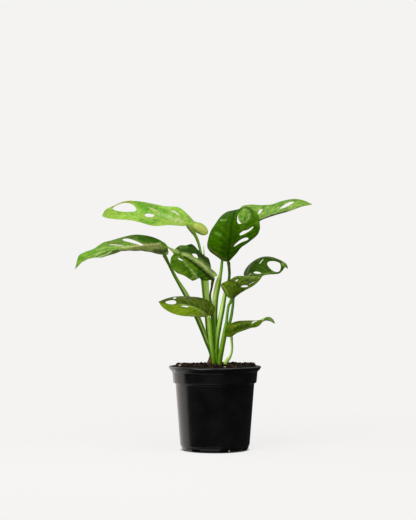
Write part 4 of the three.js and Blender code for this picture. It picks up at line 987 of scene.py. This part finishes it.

# Stalks from the leaf down into the soil: stops, colours on the left and on the right, and the
# slit of the sheath as [turn in degrees, depth, first stop, last stop]
# The left and right colours are partly painted light and shade: one side lit, with painted highlights, the
# other shaded.
STALKS = {
    "upper_left": {
        "stops": [[-35.8, 8, 290, 2.2], [-30.4, 7.6, 284.2, 2.9], [-24.6, 8.5, 275.4, 2.1],
            [-20, 11, 262, 1.8], [-16.5, 12.5, 240, 2.4], [-13.2, 11, 218, 5.1, 2.8],
            [-11.8, 9, 197, 4.4, 2.8], [-9.8, 7, 171, 3.6], [-7, 5, 141, 3.4], [-2, 3, 118, 3.6],
            [0, 2, 95, 3.6]],
        "left": [0x4f6118, 0x54691a, 0x54761d, 0x4f7a1a, 0x4c7c08, 0x5a8c14, 0x4a7a0a, 0x447204, 0x4c7a06,
            0x447004, 0x345500],
        "right": [0x7c8a44, 0x6f8434, 0x64902c, 0x6fa038, 0x98c84c, 0xc6ee70, 0xc0e46c, 0xb0d860,
            0x88b438, 0x6a9818, 0x345500],
        "groove": [250, 0.9, 3.6, 8.5],
    },
    "middle_left": {
        "stops": [[-66, 0.5, 252.2, 2.7], [-64, 1, 248, 2.4], [-60, 2, 240, 1.9], [-50.5, 4, 221.5, 2.2],
            [-37.5, 6, 200, 3.4], [-22.9, 6, 171, 3.8, 3], [-10.8, 5, 141, 3.5, 2.8], [-4, 3.5, 122, 3.2],
            [-1, 3, 95, 3]],
        "left": [0x44561a, 0x3c5210, 0x2c480a, 0x2c4c04, 0x305204, 0x345c00, 0x3b6400, 0x3a5f06,
            0x345500],
        "right": [0x5a7123, 0x48661a, 0x3f6410, 0x6a9c1c, 0x88b838, 0x70a020, 0x5f8a18, 0x4b6e0a,
            0x345500],
        "groove": [235, 0.6, 3.2, 6.6],
    },
    "dark_left": {
        "stops": [[-2, -6, 222, 2.2], [-3.3, -4, 216, 1.9], [-4.3, -2, 209, 1.4], [-6.2, 0, 200, 1.4],
            [-5, 1, 186, 1.9], [-2.9, 2, 165, 2.3], [-1.5, 2, 135, 2.4], [0, 2, 112, 2.4]],
        "left": [0x3c4c10, 0x304a08, 0x2c4a04, 0x345a08, 0x3f6a08, 0x4a7a10, 0x457008, 0x3c6102],
    },
    "dark_centre": {
        "stops": [[17.6, -4, 243, 2.3], [18.4, -3.2, 236, 1.9], [18.8, -2, 225, 1.8], [16.5, 0, 211, 2.1],
            [13, 1, 199, 2.6], [9.5, 2, 180, 3.2], [5.8, 2.5, 160, 3.2], [3, 3, 141, 3],
            [1.5, 3, 118, 3.4], [1, 3, 95, 3.4]],
        "left": [0x3a5a10, 0x33520c, 0x335408, 0x5a8a18, 0xb4d868, 0xd0ec84, 0xb8dc70, 0x88b438, 0x5c8a14,
            0x345500],
        "right": [0x2f460c, 0x2f4208, 0x2c4a04, 0x387000, 0x3c7400, 0x427808, 0x427808, 0x427004,
            0x3c6102, 0x345500],
        "groove": [40, 0.8, 3.2, 8.0],
    },
    "upper_right": {
        "stops": [[35.5, 34, 291.8, 2.2], [27, 29, 281, 2], [17, 19, 264, 1.8], [10, 12, 247, 1.8],
            [8, 9, 231, 2], [4, 8, 213, 3.8, 2.4], [0.6, 8, 193, 3.7, 2.6], [0.8, 7, 167, 2.6],
            [1.8, 6, 141, 2.6], [2, 5, 118, 3], [1.5, 5, 95, 3]],
        "left": [0x6f8c30, 0x6a942c, 0x5f9420, 0x5f9420, 0x7cac30, 0xd0e878, 0xd8f088, 0x88b03c, 0x90b848,
            0x7ca42c, 0x345500],
        "right": [0x5a7a20, 0x578420, 0x4c8410, 0x4c8410, 0x528810, 0x4c8000, 0x4a7c08, 0x427408,
            0x3c6c04, 0x3c6102, 0x345500],
        "groove": [30, 0.8, 4.0, 7.4],
    },
    "lower_left": {
        "stops": [[-9, -14, 172.5, 2.3], [-7.2, -10, 165, 2.4], [-6, -7, 150, 2.5], [-4.5, -5, 135, 2.5],
            [-2, -3, 118, 2.7], [0, -1, 95, 2.7]],
        "left": [0xb0d060, 0xb4d860, 0xa4cc50, 0x98c048, 0x6c9818, 0x345500],
        "right": [0x8ab048, 0x80b038, 0x78a830, 0x6a9820, 0x4c780c, 0x345500],
        "groove": [150, 0.5, 1.0, 4.4],
    },
    "front_right": {
        "stops": [[21.5, -12, 194.6, 2.2], [20.5, -10.5, 190.8, 2], [18, -8, 186.5, 1.8],
            [16.2, -5, 176, 1.8], [14.8, -3, 163, 2], [12.7, -2.2, 150, 2.4]],
        "left": [0x6a8420, 0x70982c, 0x70a038, 0x6a9c30, 0x689c28, 0x5c8c18],
        "right": [0x546c18, 0x5c8020, 0x5a9028, 0x508820, 0x4c8018, 0x467410],
    },
    "back_right": {
        "stops": [[41, 10, 223, 2.2], [35, 8, 215, 2], [28.5, 3, 206, 1.8], [24.3, 1, 197, 1.8],
            [23.4, 0, 187, 1.8], [20.8, -1, 170, 2], [18, -1.5, 160, 2.2], [13.4, -2, 148, 2.6]],
        "left": [0x4f6a18, 0x5c7c24, 0x64943c, 0x7cb060, 0x78a850, 0x649430, 0x588420, 0x4f7c18],
        "right": [0x3c5a10, 0x446c14, 0x4c8030, 0x549044, 0x4c8030, 0x487820, 0x446f14, 0x446f10],
    },
    "lower_right": {
        "stops": [[21.5, -10, 145.5, 1.9], [21.8, -9.5, 140, 1.6], [22.3, -8, 130, 1.4],
            [20.3, -6.5, 121, 1.5], [16, -5.5, 115, 2.4], [13.5, -5.5, 110, 2.6], [13, -8, 98, 2.2],
            [13, -9, 78, 1.6]],
        "left": [0x84a838, 0x98c04c, 0xa8d05c, 0xb4d868, 0xc8e078, 0xa0b850, 0x5f7c24, 0x345500],
        "right": [0x5f8820, 0x6c9c2c, 0x70a830, 0x78b038, 0x88b848, 0x78982c, 0x4a6f14, 0x345500],
        "groove": [200, 0.7, 2.6, 5.2],
    },
}

# The rolled tip of the next leaf
ROLLED = {
    "stops": [[-14.6, 12.5, 264, 0.4], [-14.2, 12.5, 252, 0.9], [-13.6, 12, 236, 1.2],
        [-13, 11, 222, 1.2]],
    "left": [0x9cc47c, 0x7fae58, 0x6a9a3c, 0x5c8c2c],
    "groove": [280, 0.35, 0.2, 2.8],
}

# Stems, made as the stalks are; the side stem's left and right colours are likewise partly painted light
# and shade.
STEMS = {
    "main": {
        "stops": [[0.4, 3, 128, 3.4], [0.4, 2.4, 112, 4.3], [0.2, 2, 92, 4.2], [0, 2, 72, 2.6]],
        "left": [0x6f9a20, 0x689818, 0x4c7a08, 0x5a4a24],
    },
    "side": {
        "stops": [[15.2, -2, 163, 2.8], [12.2, -2.6, 147, 3.3], [8.9, -3.4, 130, 3.4],
            [6.2, -4, 112, 3.3], [7, -3, 95, 3.2], [9.6, 0, 76, 2]],
        "left": [0x74a030, 0x7ca02c, 0x78a028, 0x5c8a10, 0x345500, 0x5a4a24],
        "right": [0x4c7c10, 0x4a7808, 0x3f7000, 0x3c6400, 0x345500, 0x5a4a24],
        "groove": [120, 0.8, 0.2, 3.4],
    },
}

DRY_SHEATH = {
    "mid": [[-7.2, -3.6, 106], [-7.4, -3.8, 110], [-7.2, -3.2, 115], [-6.9, -2.4, 120.6]],
    "left": [[-8, -3.3, 106], [-10.6, -1.6, 108.5], [-9.9, -1.7, 113], [-8, -2, 117.5],
        [-7.4, -2.2, 120.6]],
    "right": [[-6.4, -3.9, 106], [-3.9, -4.6, 108.5], [-4.6, -4.2, 113], [-6, -3.4, 117.5],
        [-6.5, -2.7, 120.6]],
    "arch": [0.4, 0.4],
    "holes": [],
    "colours": (0x6a4426, 0x6a4426),
    "quilt": 0.1,
}

for name, leaf in LEAVES.items():
    leaf["brushes"] = BRUSHES[name]
    corners, faces, data = leaf_mesh(leaf)
    look = leaf_material(name + "_look", leaf)
    add_mesh(name + "_fine", corners, faces, look, name, data, sharp=50)

# Each shoot's slot, its stems and roots, and the stalks that it carries
SHOOTS = {
    "shoot_main": ("stems", [STEMS["main"], ROLLED] + roots_from(0, 2, 78, [1.4, 2.7, 4.1]),
        ["upper_left", "middle_left", "dark_left", "dark_centre", "upper_right", "lower_left"]),
    "shoot_side": ("stems", [STEMS["side"]] + roots_from(9.6, 0, 80, [-0.7, 0.4]),
        ["front_right", "back_right"]),
    "shoot_young": ("young_stem", [], ["lower_right"]),
}
for name, (slot, bare, stalks) in SHOOTS.items():
    parts = [stalk_part(stem) for stem in bare] + [stalk_part(STALKS[key], 0.5) for key in stalks]
    corners, faces, tints = join(parts)
    look = stalk_material(name + "_look")
    add_mesh(name + "_fine", corners, faces, look, name, {"tint": tints})

corners, faces, data = leaf_mesh(DRY_SHEATH)
add_mesh("dry_sheath_fine", corners, faces, dry_material(), "dry_sheath", data)


# Pot: its outer and inner profile as [radius, z], from the middle of its underside to that of its floor
OUTER = [[0, RAISED - 0.2], [24, RAISED - 0.2], [26, RAISED], [38, RAISED], [39, 0.05], [41.2, 0.05],
    [43.2, 1.8], [44.1, 4.6], [44.2, 5.6], [45, 6.4], [51.1, STEP_HEIGHT - 1.2], [54, STEP_HEIGHT],
    [55.4, 100.8], [57.2, 102.2], [59, 104.4], [60.2, 106.3], [59.5, 107.5], [57.8, POT_HEIGHT]]
INNER = [[55.6, 107.4], [54.1, 105.4], [52.7, STEP_HEIGHT + 1.2], [49.8, STEP_HEIGHT], [43.7, 8.2],
    [42.1, 5], [40.7, RAISED + FLOOR_THICK], [0, RAISED + FLOOR_THICK]]
SLOT = {"count": 7, "width": 13, "height": 3.8, "from": 36, "to": 47, "turn": math.radians(17)}
DENT = {"turn": math.radians(17), "spread": math.radians(6.5), "depth": 0.7}
BOX_FACES = [[0, 3, 2, 1], [4, 5, 6, 7], [0, 1, 5, 4], [1, 2, 6, 5], [2, 3, 7, 6], [3, 0, 4, 7]]


def rounded(profile, reach):
    """The profile with each corner turned into a short curve"""
    profile = np.array(profile, float)
    line = [profile[0]]
    for before, corner, after in zip(profile, profile[1:], profile[2:]):
        one, two = np.linalg.norm(before - corner), np.linalg.norm(after - corner)
        start = corner + (before - corner) / one * min(reach, 0.45 * one)
        end = corner + (after - corner) / two * min(reach, 0.45 * two)
        for k in np.linspace(0, 1, 5):
            line.append(start * (1 - k) ** 2 + corner * 2 * k * (1 - k) + end * k * k)
    return line + [profile[-1]]


def tall_steps(line, longest):
    """More points where two neighbours of the profile lie far apart"""
    points = [line[0]]
    for a, b in zip(line, line[1:]):
        parts = max(1, math.ceil(np.linalg.norm(b - a) / longest))
        points += [a + (b - a) * k / parts for k in range(1, parts + 1)]
    return points


def turned_pot():
    """The turned shape, with a small dent at the front left of its lip and a slight wave along it"""
    line = tall_steps(rounded(OUTER + INNER, 0.9), 4.0)
    turn = TURN * np.arange(POT_SEGMENTS) / POT_SEGMENTS
    from_front = np.angle(np.exp(1j * (turn + math.pi / 2)))
    rings = []
    for r, z in line[1:-1]:
        lip = smoothstep(101.5, 104.5, z) * (1 if r > 54 else 0.4)
        dent = DENT["depth"] * lip * hill(from_front + DENT["turn"], DENT["spread"])
        wave = lip * 0.12 * np.sin(3 * turn + 0.8)
        rings.append(ring(r - dent + wave * 0.5 - 0.1 * lip, turn, z - dent - 0.1 * np.abs(wave)))
    corners = np.vstack([[0, 0, line[0][1]], *rings, [0, 0, line[-1][1]]])
    faces = ring_faces(len(rings), POT_SEGMENTS)
    return add_mesh("pot_fine", corners, faces, pot_material(), "pot", sharp=40)


def slot_cutter():
    corners, faces = [], []
    for k in range(SLOT["count"]):
        turn = SLOT["turn"] - math.pi / 2 + TURN * k / SLOT["count"]
        out = np.array([math.cos(turn), math.sin(turn), 0])
        across = np.array([-out[1], out[0], 0]) * SLOT["width"] / 2
        up = np.array([0, 0, SLOT["height"]])
        faces += [[len(corners) + i for i in face] for face in BOX_FACES]
        for reach in (SLOT["from"], SLOT["to"]):
            corners += [out * reach + a * across + b * up for a, b in ((-1, -1), (1, -1), (1, 1), (-1, 1))]
    return plain_mesh("cutter", corners, faces)


def fine_pot():
    """The pot with drain slots cut through its foot"""
    pot = turned_pot()
    cutter = slot_cutter()
    cut = pot.modifiers.new("slots", "BOOLEAN")
    cut.operation = "DIFFERENCE"
    cut.solver = "EXACT"
    cut.object = cutter
    final = bpy.data.meshes.new_from_object(pot.evaluated_get(bpy.context.evaluated_depsgraph_get()))
    pot.modifiers.clear()
    pot.data = final
    bpy.data.objects.remove(cutter)
    final.shade_smooth()
    final.set_sharp_from_angle(angle=math.radians(40))


fine_pot()


# Soil: its low heaps as [height, x, y, reach in x, reach in y], its buried side as [radius, z]
HEAPS = [[1.5, 26, 16, 13, 22], [2.6, -46, 20, 11, 18], [2.6, 51, 16, 9, 18]]
SOIL_SIDE = [[SOIL_RADIUS - 0.5, 105.0], [52.3, STEP_HEIGHT + 1.6], [49.4, STEP_HEIGHT + 0.4],
    [43.3, 8.6], [41.7, 5.4], [40.3, RAISED + FLOOR_THICK + 0.4]]
SOIL_RINGS = 60
SOIL_SEGMENTS = 180
SOIL_TINT = 0x0e0a08
CRUMB_TINTS = [0x080503, 0x0a0705, 0x100b08, 0x18110c, 0x281c12, 0x483222]
PALE_TINTS = [0xa08a6c, 0x8a6c4c, 0xb8a890]
PALE_EVERY = 50


def soil_height(x, y):
    """The bed of the soil, a little higher in the middle, with low heaps and lumps"""
    far = (x * x + y * y) / SOIL_RADIUS ** 2
    heaps = sum(top * np.exp(-((x - a) / c) ** 2 - ((y - b) / d) ** 2) for top, a, b, c, d in HEAPS)
    lumps = 0.5 * np.sin(x * 0.9 + 1.3) * np.sin(y * 0.7 + 0.4) + 0.4 * np.sin(x * 0.31 + y * 0.43)
    return SOIL_EDGE + (SOIL_RISE + lumps) * (1 - far) + 0.7 * y / SOIL_RADIUS + heaps


def fine_soil(look):
    rng = np.random.default_rng(11)
    turn = TURN * np.arange(SOIL_SEGMENTS) / SOIL_SEGMENTS
    rings = []
    for i in range(1, SOIL_RINGS + 1):
        x, y, _ = ring(SOIL_RADIUS * i / SOIL_RINGS, turn, 0).T
        grain = rng.uniform(-0.35, 0.35, SOIL_SEGMENTS) if i < SOIL_RINGS else 0
        rings.append(np.c_[x, y, soil_height(x, y) + grain])
    rings += [ring(radius, turn, z) for radius, z in SOIL_SIDE]
    corners = np.vstack([[0, 0, soil_height(0.0, 0.0)], *rings, [0, 0, SOIL_SIDE[-1][1]]])
    faces = [[face[0], *face[:0:-1]] for face in ring_faces(len(rings), SOIL_SEGMENTS)]
    tints = colour(SOIL_TINT) * rng.uniform(0.6, 1.4, (len(corners), 1))
    add_mesh("soil_bed", corners, faces, look, "soil", {"tint": tints})


def ball(level):
    """Corners and triangles of a unit ball made from an icosahedron"""
    mesh = bmesh.new()
    bmesh.ops.create_icosphere(mesh, subdivisions=level, radius=1)
    corners = np.array([v.co for v in mesh.verts])
    faces = np.array([[v.index for v in f.verts] for f in mesh.faces])
    mesh.free()
    return corners, faces


def soil_crumbs(look):
    rng = np.random.default_rng(23)
    ball_corners, ball_faces = ball(2)
    parts = []
    for k in range(CRUMBS):
        reach = SOIL_RADIUS * math.sqrt(rng.uniform(0, 1)) * 0.985
        turn = rng.uniform(0, TURN)
        size = 0.55 + 1.5 * rng.uniform(0, 1) ** 2.2
        stretch = rng.uniform(0.55, 1.3, 3) * size
        lumpy = 1 + 0.28 * np.sin(ball_corners @ rng.normal(0, 2.4, 3) + rng.uniform(0, 6))
        lumpy += rng.uniform(-0.12, 0.12, len(ball_corners))
        swing = np.linalg.qr(rng.normal(size=(3, 3)))[0]
        reach = min(reach, SOIL_RADIUS - size * 0.9)
        x, y = reach * math.cos(turn), reach * math.sin(turn)
        z = soil_height(x, y) + size * rng.uniform(-0.1, 0.55)
        made = (ball_corners * lumpy[:, None] * stretch) @ swing.T + [x, y, z]
        code = int(rng.choice(CRUMB_TINTS if k % PALE_EVERY else PALE_TINTS))
        faces = ball_faces if np.linalg.det(swing) > 0 else ball_faces[:, ::-1]
        parts.append([made, faces.tolist(), np.tile(colour(code), (len(made), 1))])
    corners, faces, tints = join(parts)
    add_mesh("soil_crumbs", corners, faces, look, "soil", {"tint": tints}, sharp=50)


soil_look = soil_material()
fine_soil(soil_look)
soil_crumbs(soil_look)


# Floor: a pale disc that fades into the backdrop, partly lit of itself so that it stays plain
FLOOR_RADIUS = 0.7
FLOOR_GLOW = 0.88
BACKDROP = colour(0xf4f3f2)


def floor():
    bpy.ops.mesh.primitive_circle_add(vertices=96, radius=FLOOR_RADIUS, fill_type="NGON",
                                      location=(0, 0, -0.0003))
    disc = bpy.context.object
    disc.name = "floor"
    material, tree = new_material("floor_look")
    tree.nodes.clear()
    away = node(tree, "ShaderNodeVectorMath", {0: own_place(tree)}, operation="LENGTH").outputs["Value"]
    plain = node(tree, "ShaderNodeBsdfDiffuse", {"Color": (0.1, 0.099, 0.098)})
    lit = ranged(tree, away, 0.041, 0.046, 0, FLOOR_GLOW)
    glow = node(tree, "ShaderNodeEmission", {"Color": BACKDROP, "Strength": lit})
    pale = node(tree, "ShaderNodeAddShader", {0: plain.outputs[0], 1: glow.outputs[0]})
    clear = node(tree, "ShaderNodeBsdfTransparent")
    fade = ranged(tree, away, 0.15, FLOOR_RADIUS * 0.95, 0, 1)
    blend = node(tree, "ShaderNodeMixShader", {0: fade, 1: pale.outputs[0], 2: clear.outputs[0]})
    node(tree, "ShaderNodeOutputMaterial", {"Surface": blend.outputs[0]})
    disc.data.materials.append(material)
    disc.visible_glossy = False


def studio():
    """The camera sees a plain backdrop; the plant is lit from above and has a pale floor to mirror"""
    world = bpy.data.worlds.new("studio")
    world.use_nodes = True
    tree = world.node_tree
    tree.nodes.clear()
    seen_by = node(tree, "ShaderNodeLightPath").outputs
    across, _, height = node(tree, "ShaderNodeSeparateXYZ", {0: own_place(tree, "Generated")}).outputs
    above = ranged(tree, height, 0.05, 0.8, 0.02, 0.45)
    entering = ranged(tree, height, -0.38, -0.5, 0.0, 0.4)
    leaving = ranged(tree, height, -0.85, -0.72, 0.0, 0.4)
    below = combined(tree, "MINIMUM", entering, leaving)
    below = combined(tree, "MULTIPLY", below, ranged(tree, across, 0.2, 0.4, 1, 0))
    mirrored = ranged(tree, seen_by["Is Glossy Ray"], 0, 1, 1, 1.6)
    strength = combined(tree, "MULTIPLY", combined(tree, "MAXIMUM", above, below), mirrored)
    fill = node(tree, "ShaderNodeBackground", {"Color": (1, 1, 1), "Strength": strength})
    backdrop = node(tree, "ShaderNodeBackground", {"Color": BACKDROP})
    shares = {0: seen_by["Is Camera Ray"], 1: fill.outputs[0], 2: backdrop.outputs[0]}
    choose = node(tree, "ShaderNodeMixShader", shares)
    node(tree, "ShaderNodeOutputWorld", {"Surface": choose.outputs[0]})
    return world


def soft_box(name, azimuth, elevation, distance, width, height, power, mirrored=True, warmth=0.0):
    """A soft box round the plant: azimuth 0 is in front, 90 at the left"""
    a, e = math.radians(azimuth), math.radians(elevation)
    away = Vector((-math.sin(a) * math.cos(e), -math.cos(a) * math.cos(e), math.sin(e)))
    light = bpy.data.lights.new(name, "AREA")
    light.shape = "RECTANGLE"
    light.size, light.size_y = width, height
    light.energy = power
    light.color = (1, 1 - 0.6 * warmth, 1 - warmth)
    box = bpy.data.objects.new(name, light)
    box.location = Vector((0, 0, 0.2)) + away * distance
    box.rotation_euler = (-away).to_track_quat("-Z", "Y").to_euler()
    box.visible_camera = False
    box.visible_glossy = mirrored
    bpy.context.collection.objects.link(box)


def photo_camera():
    """The camera at the eye that the leaves are laid out from"""
    view = bpy.data.cameras.new("photo")
    view.lens = 90
    view.sensor_width = 36
    camera = bpy.data.objects.new("photo", view)
    camera.location = Vector((0, -EYE_DISTANCE, EYE_HEIGHT)) * MM
    camera.rotation_euler = (Vector(LOOK_AT) * MM - camera.location).to_track_quat("-Z", "Y").to_euler()
    bpy.context.collection.objects.link(camera)
    return camera


floor()
bpy.context.scene.view_settings.view_transform = "Standard"
bpy.context.scene.world = studio()
soft_box("key", 35, 42, 1.6, 1.0, 1.0, 20)
soft_box("fill", -40, 57, 1.6, 1.0, 1.0, 9)
soft_box("side", 129, 0, 1.3, 2.0, 1.6, 12, warmth=0.12)
soft_box("low", 5, -4, 1.6, 1.5, 0.8, 9, mirrored=False)
bpy.context.scene.camera = photo_camera()
